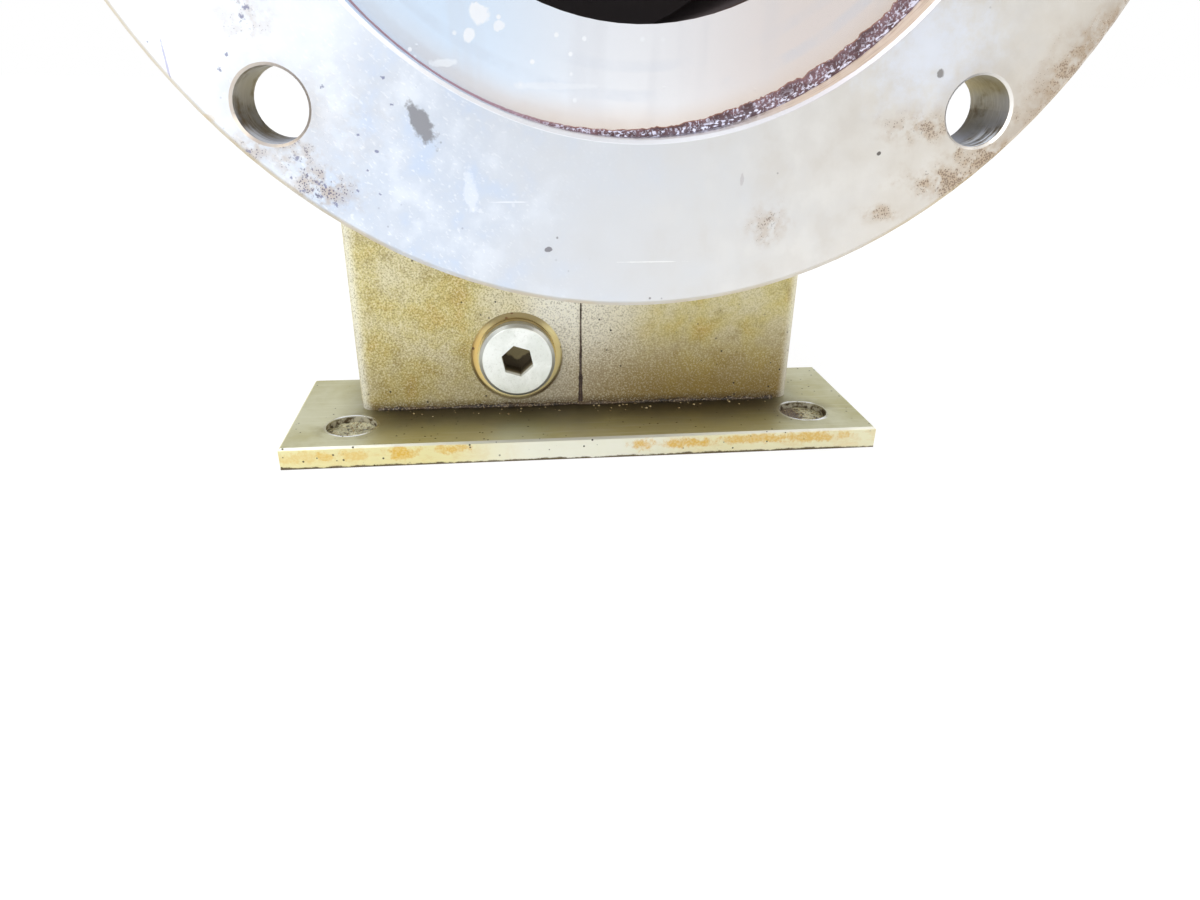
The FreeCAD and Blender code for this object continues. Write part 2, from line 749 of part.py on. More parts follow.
def make_foot_bar(label, end):
    """Flat bar under one end of the housing. end is -1 at the motor and 1 at the rear."""
    body = new_body(label)
    plan = outline(sketch_on(body, "XY_Plane", f"{label}_plan"), [
        ("0 - foot_length / 2", f"{end} * (foot_front)"), ("foot_length / 2", f"{end} * (foot_front)"),
        ("foot_length / 2", f"{end} * (foot_back)"), ("0 - foot_length / 2", f"{end} * (foot_back)")])
    pad(body, plan, "foot_thickness")

    def top_edge(edge):
        return near(edge.BoundBox.ZMin, "foot_thickness")

    edge_work(body, "Chamfer", "foot_edge", top_edge)
    holes = sketch_on(body, "XY_Plane", f"{label}_holes")
    circles(holes, "foot_hole_size", [(f"{side} * foot_hole_span / 2", f"{end} * (foot_hole_place)")
                                      for side in (1, -1)])
    pocket(body, holes, "foot_thickness", backwards=True)
    places = [(f"{side} * {place}", f"{end} * (foot_screw_place)")
              for place in ("foot_screw_inner", "foot_screw_outer") for side in (1, -1)]
    threads = sketch_on(body, "XY_Plane", f"{label}_screw_holes")
    circles(threads, "foot_screw_size", places)
    pocket(body, threads, "foot_thickness", backwards=True)

    def screw_mouth(edge):
        round_edge = isinstance(edge.Curve, Part.Circle)
        return round_edge and near(edge.BoundBox.ZMax, "0") and near(edge.Curve.Radius, "foot_screw_size / 2")

    edge_work(body, "Chamfer", "(foot_screw_head - foot_screw_size) / 2 + foot_screw_sink", screw_mouth)
    node(body)


def make_feet():
    """Two bars and the countersunk screws that hold them."""
    make_foot_bar("foot_bar_front", -1)
    make_foot_bar("foot_bar_rear", 1)
    master = turned("foot_screw", [
        ("0 - foot_screw_length + foot_screw_sink", "0"),
        ("0 - foot_screw_length + foot_screw_sink", "foot_screw_size / 2"),
        ("0 - (foot_screw_head - foot_screw_size) / 2", "foot_screw_size / 2"),
        ("0", "foot_screw_head / 2"), ("0", "0")])
    socket = sketch_on(master, "YZ_Plane", "foot_screw_socket_outline")
    pocket(master, hexagon(socket, "foot_screw_socket"), "foot_screw_socket_depth")
    doc.recompute()
    places = [spot(f"{side} * {place}", f"{end} * (foot_screw_place)", "foot_screw_sink")
              for place in ("foot_screw_inner", "foot_screw_outer") for side in (1, -1) for end in (1, -1)]
    screw_set("foot_screws", master, places, (0, 0, -1))


def make_adapter():
    """Motor flange, bell and neck, with the bolts that hold it to the housing."""
    pilot = "pilot_size / 2"
    flange = "flange_size / 2"
    spigot = "worm_bearing_outer / 2 - spigot_clearance"
    flange_back = "flange_face + flange_thickness"
    body = turned("motor_adapter", [
        ("flange_face", f"{pilot} + pilot_chamfer"), ("flange_face", f"{flange} - flange_edge"),
        ("flange_face + flange_edge", flange), (f"{flange_back} - flange_edge", flange),
        (flange_back, f"{flange} - flange_edge"), (flange_back, "neck_radius + neck_taper"),
        ("rear_flange_face", "neck_radius"), ("rear_flange_face", "rear_flange_radius"),
        ("0 - half_depth", "rear_flange_radius"), ("0 - half_depth", spigot),
        ("0 - half_depth + spigot_length", spigot), ("0 - half_depth + spigot_length", "spigot_bore / 2"),
        ("bell_floor + input_seal_width", "spigot_bore / 2"),
        ("bell_floor + input_seal_width", "input_seal_outer / 2"), ("bell_floor", "input_seal_outer / 2"),
        ("bell_floor", "bell_bore / 2"), ("flange_face + pilot_depth", "bell_bore / 2"),
        ("flange_face + pilot_depth", pilot), ("flange_face + pilot_chamfer", pilot),
    ])

    def corner_at(place, radius):
        def chosen(edge):
            if not isinstance(edge.Curve, Part.Circle):
                return False
            return near(edge.Curve.Center.x, place) and near(edge.Curve.Radius, radius)
        return chosen

    edge_work(body, "Fillet", "neck_round", corner_at(flange_back, "neck_radius + neck_taper"))
    edge_work(body, "Fillet", "neck_foot_round", corner_at("rear_flange_face", "neck_radius"))
    gusset = outline(sketch_on(body, "XZ_Plane", "adapter_gusset"), [
        (f"{flange_back}", "bell_bore / 2 + neck_wall / 2"),
        (f"{flange_back}", "neck_radius + gusset_reach"),
        ("rear_flange_face", "neck_radius + neck_round"),
        ("rear_flange_face", "bell_bore / 2 + neck_wall / 2"),
    ])
    around(body, [pad(body, gusset, "gusset_thickness", both=True)], "gussets")
    holes = sketch_on(body, "YZ_Plane", "motor_bolt_holes", lift="flange_face")
    side_step = f"bolt_circle / 2 * cos({EIGHTH_TURN} deg)"
    circles(holes, "bolt_hole", [(side_step, side_step)])
    around(body, [pocket(body, holes, "flange_thickness", backwards=True)], "motor_bolts")

    edge_work(body, "Chamfer", "bolt_hole_edge", corner_at("flange_face", "bolt_hole / 2"))
    rear = sketch_on(body, "YZ_Plane", "adapter_bolt_holes", lift="rear_flange_face")
    circles(rear, "adapter_bolt_size + 2 * adapter_bolt_gap", [("adapter_bolt_circle / 2", "0")])
    around(body, [pocket(body, rear, "rear_flange_thickness", backwards=True)], "adapter_bolts")
    node(on_worm_axis(body))

    master = turned("adapter_bolt", [
        ("0 - rear_flange_thickness - adapter_bolt_depth", "0"),
        ("0 - rear_flange_thickness - adapter_bolt_depth", "adapter_bolt_size / 2"),
        ("0", "adapter_bolt_size / 2"), ("0", "0")])
    head = hexagon(sketch_on(master, "YZ_Plane", "adapter_bolt_head_outline"), "adapter_bolt_head")
    pad(master, head, "adapter_bolt_head_height")
    doc.recompute()
    ring = "adapter_bolt_circle / 2"
    places = []
    for angle in range(0, FULL_TURN, SIXTH_TURN):
        up = f"worm_height + {ring} * sin({angle} deg)"
        places.append(spot(f"{ring} * cos({angle} deg)", "rear_flange_face", up))
    screw_set("adapter_bolts", master, places, (0, -1, 0))


def seal_profile(width, outer, shaft):
    """Section of a lip seal: a case that sits in the bore and a lip that runs on the shaft."""
    case = f"{outer} / 2 - seal_case"
    lip = f"{shaft} / 2 + seal_lip_gap"
    return [
        ("0", f"{outer} / 2"), (width, f"{outer} / 2"), (width, case), ("seal_case", case),
        ("seal_case", f"{lip} + seal_lip_rise"), (f"{width} - seal_case", f"{lip} + seal_lip_rise"),
        (f"{width} - 2 * seal_case", lip), ("0", f"{lip} + seal_case"),
    ]


def make_rear_cover():
    """Cover over the rear end of the worm bore, with its screws."""
    bearing = "worm_bearing_outer / 2 - spigot_clearance"
    body = turned("rear_cover", [
        ("half_depth - spigot_length", f"{bearing} - rear_cover_rim"),
        ("half_depth - spigot_length", bearing),
        ("half_depth", bearing), ("half_depth", "rear_cover_radius"),
        ("half_depth + rear_cover_thickness - rear_cover_edge", "rear_cover_radius"),
        ("half_depth + rear_cover_thickness", "rear_cover_radius - rear_cover_edge"),
        ("half_depth + rear_cover_thickness", "0"), ("half_depth", "0"),
        ("half_depth", f"{bearing} - rear_cover_rim"),
    ])
    ring = f"rear_screw_circle / 2 * cos({EIGHTH_TURN} deg)"
    holes = sketch_on(body, "YZ_Plane", "rear_cover_holes", lift="half_depth")
    circles(holes, "rear_screw_size + 2 * rear_screw_gap",
            [(ring, ring)])
    around(body, [pocket(body, holes, "rear_cover_thickness", backwards=True)], "rear_screws")
    node(on_worm_axis(body))
    master = socket_screw("rear_cover_screw", "rear_screw_size",
                          "rear_cover_thickness + rear_screw_depth - rear_screw_gap", "rear_screw_head",
                          "rear_screw_head_height", "rear_screw_socket", "rear_screw_socket_depth")
    places = [spot(f"{side} * {ring}", "half_depth + rear_cover_thickness", f"worm_height + {up} * {ring}")
              for side in (1, -1) for up in (1, -1)]
    screw_set("rear_cover_screws", master, places, (0, 1, 0))


def make_bearing(label, bore, outer, width, cone_width, cup_width, rollers, place):
    """Tapered roller bearing: cone, cup, and a set of rollers in their cage. place seats each piece."""
    pitch = f"({bore} + {outer}) / 4"
    middle = f"{width} / 2 - cage_sheet / 2"
    cosine = "cos(roller_tilt * 1 deg)"
    sine = "sin(roller_tilt * 1 deg)"

    def race(along, way):
        """Radius of a raceway at a place along the axis: way is 1 on the cup and -1 on the cone."""
        reach = "(roller_radius + roller_gap)"
        slope = f"tan((roller_tilt + {way} * roller_taper) * 1 deg)"
        return (f"{pitch} + {way} * {cosine} * {reach}"
                f" - (({along}) - ({middle} + {way} * {sine} * {reach})) * {slope}")

    swell = "roller_length / 2 * tan(roller_taper * 1 deg)"
    rib = f"{middle} - roller_length / 2 * {cosine} - {sine} * (roller_radius + {swell}) - roller_gap"
    cone = turned(f"{label}_cone", [
        ("0", f"{bore} / 2"), ("0", f"{race(rib, -1)} + cone_rib_height"),
        (rib, f"{race(rib, -1)} + cone_rib_height"), (rib, race(rib, -1)),
        (cone_width, race(cone_width, -1)), (cone_width, f"{bore} / 2")])
    node(place(cone))
    cup_front = f"{width} - {cup_width}"
    cup = turned(f"{label}_cup", [
        (cup_front, race(cup_front, 1)), (cup_front, f"{outer} / 2"), (width, f"{outer} / 2"),
        (width, race(width, 1))])
    node(place(cup))

    def roller_ring(name, extra):
        """Ring of tapered rollers, each swollen by an extra size."""
        body = new_body(name)
        sketch = sketch_on(body, "XZ_Plane", f"{name}_profile")
        corners = []
        for end, off in ((-1, 0), (1, 0), (1, 1), (-1, 1)):
            run = f"{end} * (roller_length / 2 + {extra})"
            rise = f"{off} * (roller_radius + {extra} - {end} * {swell})"
            corners.append((f"{middle} + {run} * {cosine} + {rise} * {sine}",
                            f"{pitch} - {run} * {sine} + {rise} * {cosine}"))
        outline(sketch, corners)
        ends = [FreeCAD.Vector(number(x), number(y), 0) for x, y in corners[:2]]
        axis = sketch.addGeometry(Part.LineSegment(*ends), True)
        for end, (x, y) in enumerate(corners[:2], 1):
            pin(sketch, axis, end, x, y)
        around(body, [spin(body, "Revolution", sketch, "Axis0")], rollers)
        return place(body)

    def cage_side(along, lift):
        """Place and radius on the cage sheet, along and above the rollers' own axis line."""
        return (f"{middle} + ({along}) * {cosine} + ({lift}) * {sine}",
                f"{pitch} - ({along}) * {sine} + ({lift}) * {cosine}")

    reach = "(roller_length / 2 + cage_margin)"
    sheet_ring = turned(f"{label}_cage_sheet", [
        cage_side(f"0 - {reach}", "cage_offset"), cage_side(reach, "cage_offset"),
        cage_side(reach, "cage_offset + cage_sheet"), cage_side(f"0 - {reach}", "cage_offset + cage_sheet")])
    cage = doc.addObject("Part::Cut", f"{label}_cage")
    cage.Base = place(sheet_ring)
    cage.Tool = roller_ring(f"{label}_windows", "cage_window_gap")
    group(f"{label}_rollers", [roller_ring(f"{label}_roller_ring", "0"), cage])


def shim(label, outer):
    """Flat ring that sets a bearing's play."""
    return turned(label, [
        ("0", f"{outer} / 2 - spigot_clearance - shim_width"), ("0", f"{outer} / 2 - spigot_clearance"),
        ("shim_thickness", f"{outer} / 2 - spigot_clearance"),
        ("shim_thickness", f"{outer} / 2 - spigot_clearance - shim_width")])


def make_worm_line():
    """Worm shaft with its bearings, shims and seal."""
    body = new_body("worm_shaft")
    pitch = "pi * gear_module"
    turns = math.ceil(number("thread_length") / number(pitch) / 2 + 1) * 2
    flank = "tan(pressure_angle * 1 deg)"
    foot = "(worm_root - thread_chamfer / 2)"
    foot_half = f"pi * gear_module / 4 + (worm_radius - {foot}) * {flank}"
    tip_half = f"pi * gear_module / 4 - gear_module * {flank}"
    start = f"0 - {turns // 2} * {pitch}"
    tooth = outline(sketch_on(body, "XZ_Plane", "thread_section"), [
        (f"{start} - ({foot_half})", f"0 - {foot}"), (f"{start} + ({foot_half})", f"0 - {foot}"),
        (f"{start} + ({tip_half})", "0 - worm_tip"), (f"{start} - ({tip_half})", "0 - worm_tip")])
    thread = body.newObject("PartDesign::AdditiveHelix", "thread")
    thread.Profile = tooth
    thread.ReferenceAxis = (tooth, ["H_Axis"])
    thread.Mode = "pitch-turns-angle"
    thread.setExpression("Pitch", bound(pitch))
    thread.Turns = turns
    body.Tip = thread
    for end in (1, -1):
        run_out = sketch_on(body, "XZ_Plane", f"thread_end_{'rear' if end > 0 else 'front'}")
        far = f"{end} * ({turns} * {pitch})"
        outline(run_out, [
            (f"{end} * thread_length / 2", "0"), (far, "0"), (far, "worm_tip + thread_chamfer"),
            (f"{end} * (thread_length / 2 - 2 * thread_chamfer)", "worm_tip + thread_chamfer"),
            (f"{end} * thread_length / 2", "worm_tip - thread_chamfer")])
        spin(body, "Groove", run_out)
    root_end = "(thread_length / 2 + thread_chamfer)"
    core = outline(sketch_on(body, "XZ_Plane", "shaft_section"), [
        ("worm_stub_end", "0"), ("worm_stub_end", "worm_stub / 2 - shaft_chamfer"),
        ("worm_stub_end + shaft_chamfer", "worm_stub / 2"), ("worm_stub_start", "worm_stub / 2"),
        ("worm_stub_start", "worm_seat / 2"), ("0 - worm_cone_back", "worm_seat / 2"),
        ("0 - worm_cone_back", "worm_collar / 2"), (f"0 - {root_end} - thread_chamfer", "worm_collar / 2"),
        (f"0 - {root_end}", "worm_root"), (root_end, "worm_root"),
        (f"{root_end} + thread_chamfer", "worm_collar / 2"), ("worm_cone_back", "worm_collar / 2"),
        ("worm_cone_back", "worm_seat / 2"), ("worm_rear_end - shaft_chamfer", "worm_seat / 2"),
        ("worm_rear_end", "worm_seat / 2 - shaft_chamfer"), ("worm_rear_end", "0")])
    spin(body, "Revolution", core)
    keyway = sketch_on(body, "XY_Plane", "worm_keyway", lift="worm_stub / 2 - worm_key_depth")
    slot(keyway, "worm_hub_back - hub_length / 2", "worm_key_length", "worm_key_width")
    pocket(body, keyway, "worm_key_depth", backwards=True)
    node(on_worm_axis(body))

    for label, end, flip in (("front_worm_bearing", -1, True), ("rear_worm_bearing", 1, False)):
        def seat_piece(piece, along=f"{end} * (worm_cone_back)", flip=flip):
            return on_worm_axis(piece, along, flip)

        make_bearing(label, "worm_seat", "worm_bearing_outer", "worm_bearing_width", "worm_cone_width",
                     "worm_cup_width", "worm_rollers", seat_piece)
    group("worm_bearing_shims", [
        on_worm_axis(shim("front_worm_shim", "worm_bearing_outer"), "0 - worm_cup_back", True),
        on_worm_axis(shim("rear_worm_shim", "worm_bearing_outer"), "worm_cup_back")])
    node(on_worm_axis(turned("input_seal", seal_profile("input_seal_width", "input_seal_outer", "worm_seat")),
                      "bell_floor"))


def slot(sketch, middle, length, width):
    """Round-ended slot along the sketch's first axis."""
    near_end = f"({middle}) - ({length} - {width}) / 2"
    far_end = f"({middle}) + ({length} - {width}) / 2"
    half = f"{width} / 2"
    return outline(sketch, [
        (near_end, f"0 - {half}"), (far_end, f"0 - {half}", half, far_end, "0"),
        (f"{far_end} + {half}", "0", half, far_end, "0"), (far_end, half),
        (near_end, half, half, near_end, "0"), (f"{near_end} - {half}", "0", half, near_end, "0")])


def key(label, middle, length, width, low, height):
    """Parallel key with round ends, lying along X above its shaft's axis."""
    body = new_body(label)
    plan = sketch_on(body, "XY_Plane", f"{label}_plan", lift=low)
    pad(body, slot(plan, middle, length, width), height)
    return body


def make_coupling_hub(label, start, bore, jaw_face, jaws_ahead, jaw_turn):
    """Coupling hub along X: a ring with three jaws on one face."""
    body = turned(label, [
        (start, f"{bore} / 2"), (start, "coupling_size / 2"), (f"{start} + hub_length", "coupling_size / 2"),
        (f"{start} + hub_length", f"{bore} / 2")])
    jaw = sketch_on(body, "YZ_Plane", f"{label}_jaw", lift=jaw_face)
    sector(jaw, "jaw_inner", "coupling_size / 2", "jaw_angle", jaw_turn)
    around(body, [pad(body, jaw, "jaw_length", backwards=not jaws_ahead)], "spider_legs / 2")
    drill = sketch_on(body, "XY_Plane", f"{label}_set_screw_hole")
    back_off = "set_screw_setback" if jaws_ahead else "hub_length - set_screw_setback"
    circles(drill, "set_screw_size", [(f"{start} + {back_off}", "0")])
    pocket(body, drill, "coupling_size / 2", backwards=True)
    return body


def hub_keyway(body, label, start, width, rise, bore):
    """Keyway through a hub's bore, on its upper side."""
    section = sketch_on(body, "YZ_Plane", f"{label}_keyway", lift=start)
    outline(section, [
        (f"0 - {width} / 2", "0"), (f"{width} / 2", "0"),
        (f"{width} / 2", f"{bore} / 2 + {rise}"), (f"0 - {width} / 2", f"{bore} / 2 + {rise}")])
    pocket(body, section, "hub_length", backwards=True)


def make_coupling():
    """Jaw coupling between the motor shaft and the worm."""
    motor = make_coupling_hub("motor_hub", "motor_hub_front", "motor_bore", "motor_hub_back", True,
                              "jaw_turn")
    hub_keyway(motor, "motor_hub", "motor_hub_front", "motor_key_width", "motor_key_rise", "motor_bore")
    node(on_worm_axis(motor))
    worm = make_coupling_hub("worm_hub", "worm_hub_front", "worm_stub", "worm_hub_front", False,
                             "jaw_turn - 360 / spider_legs")
    hub_keyway(worm, "worm_hub", "worm_hub_front", "worm_key_width",
               "worm_key_height - worm_key_depth + key_top_gap", "worm_stub")
    node(on_worm_axis(worm))

    front = "motor_hub_back + spider_end_gap"
    back = "worm_hub_front - spider_end_gap"
    spider = turned("coupling_spider", [
        (front, "spider_bore / 2"), (front, "spider_core / 2"), (back, "spider_core / 2"),
        (back, "spider_bore / 2")])
    leg = sketch_on(spider, "YZ_Plane", "spider_leg", lift=front)
    sector(leg, "(spider_bore + spider_core) / 4", "coupling_size / 2 - jaw_end_gap", "leg_angle", "0")
    around(spider, [pad(spider, leg, "jaw_zone - 2 * spider_end_gap")], "spider_legs")
    node(on_worm_axis(spider))

    hub_key = key("worm_hub_key", "worm_hub_back - hub_length / 2", "worm_key_length", "worm_key_width",
                  "worm_stub / 2 - worm_key_depth", "worm_key_height")
    node(on_worm_axis(hub_key))
    master = turned("set_screw", [
        ("0 - set_screw_length", "0"), ("0 - set_screw_length", "set_screw_size / 2"),
        ("0", "set_screw_size / 2"), ("0", "0")])
    socket = hexagon(sketch_on(master, "YZ_Plane", "set_screw_socket_outline"), "set_screw_socket")
    pocket(master, socket, "set_screw_socket_depth")
    doc.recompute()
    rim = "worm_height + coupling_size / 2 - jaw_end_gap"
    screw_set("coupling_set_screws", master, [
        spot("0", "motor_hub_front + set_screw_setback", rim),
        spot("0", "worm_hub_back - set_screw_setback", rim)], (0, 0, 1))


def gap_edge(gear, offset, radius, flank):
    """Angle at which the worm's thread clears a wheel tooth, at a radius in a plane beside the middle.

    The thread passes the wheel as a rack does, so the widest place that one flank reaches while the
    two roll past each other is the edge of the tooth gap. flank is 1 or -1.
    """
    slope = math.tan(math.radians(gear["pressure_angle"]))
    half_tooth = math.pi * gear["gear_module"] / 4 + gear["flank_clearance"]
    deepest = math.sqrt(gear["worm_tip"] ** 2 - offset ** 2)
    shallow = gear["centre_distance"] - radius - gear["gear_module"]
    best = None

    def thread_point(travel, depth):
        """Place of the flank, along the worm and out from the wheel's axis, at a depth below the worm's."""
        drift = gear["gear_module"] / 2 * math.atan2(offset, depth)
        half = half_tooth - (math.hypot(depth, offset) - gear["worm_radius"]) * slope
        return travel - drift + flank * half, gear["centre_distance"] - depth

    for step in range(-ROLL_STEPS, ROLL_STEPS + 1):
        travel = step / ROLL_STEPS * gear["thread_length"] / 3
        if math.hypot(*thread_point(travel, deepest)) > radius:
            continue
        low = max(shallow, gear["gear_module"])
        high = deepest
        for halving in range(HALVINGS):
            depth = (low + high) / 2
            if math.hypot(*thread_point(travel, depth)) > radius:
                low = depth
            else:
                high = depth
        along, up = thread_point(travel, high)
        angle = math.atan2(along, up) - travel / gear["wheel_radius"]
        best = angle if best is None else flank * max(flank * best, flank * angle)
    return best


def make_wheel():
    """Worm wheel: a bronze rim with hobbed teeth on an iron hub, with its key and lock screws."""
    half = "face_width / 2"
    throat = "(centre_distance - wheel_throat)"
    flare = f"sqrt({throat} ^ 2 - (centre_distance - wheel_outer) ^ 2)"
    blank = turned("rim_blank", [
        (f"0 - {half}", "rim_bore"), (f"0 - {half}", "wheel_outer - rim_chamfer"),
        (f"0 - {half} + rim_chamfer", "wheel_outer"),
        (f"0 - {flare}", "wheel_outer", throat, "0", "centre_distance"), (flare, "wheel_outer"),
        (f"{half} - rim_chamfer", "wheel_outer"), (half, "wheel_outer - rim_chamfer"), (half, "rim_bore")])
    on_output_axis(blank)
    gear = {name: number(name) for name in (
        "centre_distance", "wheel_radius", "worm_radius", "worm_tip", "gear_module", "pressure_angle",
        "flank_clearance", "thread_length", "root_gap")}
    edge = number("face_width / 2 + rim_chamfer")
    over = number("wheel_outer + rim_chamfer")
    sections = []
    for plane in range(GAP_PLANES):
        offset = edge * (2 * plane / (GAP_PLANES - 1) - 1)
        bottom = gear["centre_distance"] - math.sqrt((gear["worm_tip"] + gear["root_gap"]) ** 2 - offset ** 2)
        reached = gear["centre_distance"] - math.sqrt(gear["worm_tip"] ** 2 - offset ** 2)
        sides = []
        for flank in (1, -1):
            points = []
            for ring in range(GAP_RINGS):
                radius = bottom + (over - bottom) * ring / (GAP_RINGS - 1)
                angle = gap_edge(gear, offset, max(radius, reached + gear["root_gap"] / 2), flank)
                points.append(FreeCAD.Vector(offset, radius * math.sin(angle), radius * math.cos(angle)))
            sides.append(points)
        curves = []
        for points in sides:
            curve = Part.BSplineCurve()
            curve.interpolate(points)
            curves.append(curve.toShape())
        curves.append(Part.makeLine(sides[0][-1], sides[1][-1]))
        curves.append(Part.makeLine(sides[0][0], sides[1][0]))
        sections.append(Part.Wire(Part.__sortEdges__(curves)))
    gap = Part.makeLoft(sections, True, False)
    cuts = []
    teeth = round(number("wheel_teeth"))
    for tooth in range(teeth):
        cut = gap.copy()
        cut.rotate(FreeCAD.Vector(), FreeCAD.Vector(1, 0, 0), FULL_TURN * tooth / teeth)
        cuts.append(cut)
    gaps = doc.addObject("Part::Feature", "tooth_gaps")
    gaps.Shape = Part.makeCompound(cuts)
    on_output_axis(gaps)
    rim = doc.addObject("Part::Cut", "toothed_rim")
    rim.Base = blank
    rim.Tool = gaps

    lock_places = [(f"rim_bore * cos({angle} deg)", f"rim_bore * sin({angle} deg)")
                   for angle in range(EIGHTH_TURN, FULL_TURN, QUARTER)]
    drills = []
    for place, (y, z) in enumerate(lock_places):
        drill = doc.addObject("Part::Cylinder", f"lock_drill_{place}")
        drill.setExpression("Radius", bound("lock_screw_size / 2"))
        drill.setExpression("Height", bound("lock_screw_length"))
        seat(drill, x=f"{half} - lock_screw_length", y=y, z=f"output_height + {z}", turn=QUARTER,
             about=(0, 1, 0))
        drills.append(drill)
    lock_holes = doc.addObject("Part::Compound", "lock_holes")
    lock_holes.Links = drills
    bored_rim = doc.addObject("Part::Cut", "wheel_rim")
    bored_rim.Base = rim
    bored_rim.Tool = lock_holes
    node(bored_rim)
    group("wheel_lock_screws", drills)

    hub = turned("hub_blank", [
        ("0 - hub_width / 2", "wheel_seat / 2"), ("0 - hub_width / 2", "hub_boss / 2"),
        ("0 - hub_web / 2", "hub_boss / 2"), ("0 - hub_web / 2", "rim_bore - hub_ring"),
        (f"0 - {half}", "rim_bore - hub_ring"), (f"0 - {half}", "rim_bore"), (half, "rim_bore"),
        (half, "rim_bore - hub_ring"), ("hub_web / 2", "rim_bore - hub_ring"),
        ("hub_web / 2", "hub_boss / 2"), ("hub_width / 2", "hub_boss / 2"),
        ("hub_width / 2", "wheel_seat / 2")])
    rise = "wheel_seat / 2 + wheel_key_height - wheel_key_depth + key_top_gap"
    section = sketch_on(hub, "YZ_Plane", "hub_keyway")
    outline(section, [
        ("0 - wheel_key_width / 2", "0"), ("wheel_key_width / 2", "0"), ("wheel_key_width / 2", rise),
        ("0 - wheel_key_width / 2", rise)])
    pocket(hub, section, "hub_width", both=True)
    bored_hub = doc.addObject("Part::Cut", "wheel_hub")
    bored_hub.Base = on_output_axis(hub)
    bored_hub.Tool = lock_holes
    node(bored_hub)
    node(on_output_axis(key("wheel_key", "0", "wheel_key_length", "wheel_key_width",
                            "wheel_seat / 2 - wheel_key_depth", "wheel_key_height")))


def make_output_line():
    """Output shaft with its bearings, spacers, seal and cap."""
    chamfer = "shaft_chamfer"
    seat_radius = "output_seat / 2"
    shaft = turned("output_shaft", [
        ("0 - output_left_end", "0"), ("0 - output_left_end", f"{seat_radius} - {chamfer}"),
        (f"0 - output_left_end + {chamfer}", seat_radius), ("0 - hub_width / 2", seat_radius),
        ("0 - hub_width / 2", "wheel_seat / 2"), ("hub_width / 2", "wheel_seat / 2"),
        ("hub_width / 2", "output_collar / 2"), ("output_cone_back", "output_collar / 2"),
        ("output_cone_back", seat_radius), ("output_step", seat_radius),
        ("output_step", "output_extension / 2"), (f"output_right_end - {chamfer}", "output_extension / 2"),
        ("output_right_end", f"output_extension / 2 - {chamfer}"), ("output_right_end", "0")])
    wheel_slot = sketch_on(shaft, "XY_Plane", "wheel_keyway", lift="wheel_seat / 2 - wheel_key_depth")
    slot(wheel_slot, "0", "wheel_key_length", "wheel_key_width")
    pocket(shaft, wheel_slot, "wheel_key_depth", backwards=True)
    end_slot = sketch_on(shaft, "XY_Plane", "output_keyway", lift="output_extension / 2 - output_key_depth")
    slot(end_slot, "output_right_end - output_key_setback - output_key_length / 2", "output_key_length",
         "output_key_width")
    pocket(shaft, end_slot, "output_key_depth", backwards=True)
    node(on_output_axis(shaft))

    node(on_output_axis(turned("spacer_sleeve", [
        ("0 - output_cone_back", seat_radius), ("0 - output_cone_back", f"{seat_radius} + sleeve_wall"),
        ("0 - hub_width / 2", f"{seat_radius} + sleeve_wall"), ("0 - hub_width / 2", seat_radius)])))
    for label, side, flip in (("left_output_bearing", -1, True), ("right_output_bearing", 1, False)):
        def seat_piece(piece, along=f"{side} * (output_cone_back)", flip=flip):
            return on_output_axis(piece, along, flip)

        make_bearing(label, "output_seat", "output_bearing_outer", "output_bearing_width",
                     "output_cone_width", "output_cup_width", "output_rollers", seat_piece)
    group("output_bearing_shims", [
        on_output_axis(shim("left_output_shim", "output_bearing_outer"), "0 - output_cup_back", True),
        on_output_axis(shim("right_output_shim", "output_bearing_outer"), "output_cup_back")])
    rings = []
    for label, side, flip in (("left_ring", -1, True), ("right_ring", 1, False)):
        outer = "output_bearing_outer / 2 + retaining_ring_depth"
        inner = f"{outer} - retaining_ring_wall"
        ring = turned(label, [
            ("0", inner), ("0", outer), ("retaining_ring_width", outer), ("retaining_ring_width", inner)])
        opening = sketch_on(ring, "YZ_Plane", f"{label}_opening")
        outline(opening, [
            ("0 - retaining_ring_gap / 2", "0"), ("retaining_ring_gap / 2", "0"),
            ("retaining_ring_gap / 2", f"{outer} + retaining_ring_wall"),
            ("0 - retaining_ring_gap / 2", f"{outer} + retaining_ring_wall")])
        pocket(ring, opening, "retaining_ring_width", backwards=True)
        rings.append(on_output_axis(ring, f"{side} * (ring_back)", flip))
    group("bore_retaining_rings", rings)
    seal = turned("output_seal", list(reversed(
        [(f"output_seal_width - ({along})", radius)
         for along, radius in seal_profile("output_seal_width", "output_bearing_outer", "output_seat")])))
    node(on_output_axis(seal, "seal_back"))
    outer = "output_bearing_outer / 2"
    cap = turned("output_end_cap", [
        ("0", f"{outer} - end_cap_rim"), ("0", outer), ("output_seal_width", outer),
        ("output_seal_width", "0"), ("output_seal_width - end_cap_plate", "0"),
        ("output_seal_width - end_cap_plate", f"{outer} - end_cap_rim")])
    node(on_output_axis(cap, "0 - seal_back", True))


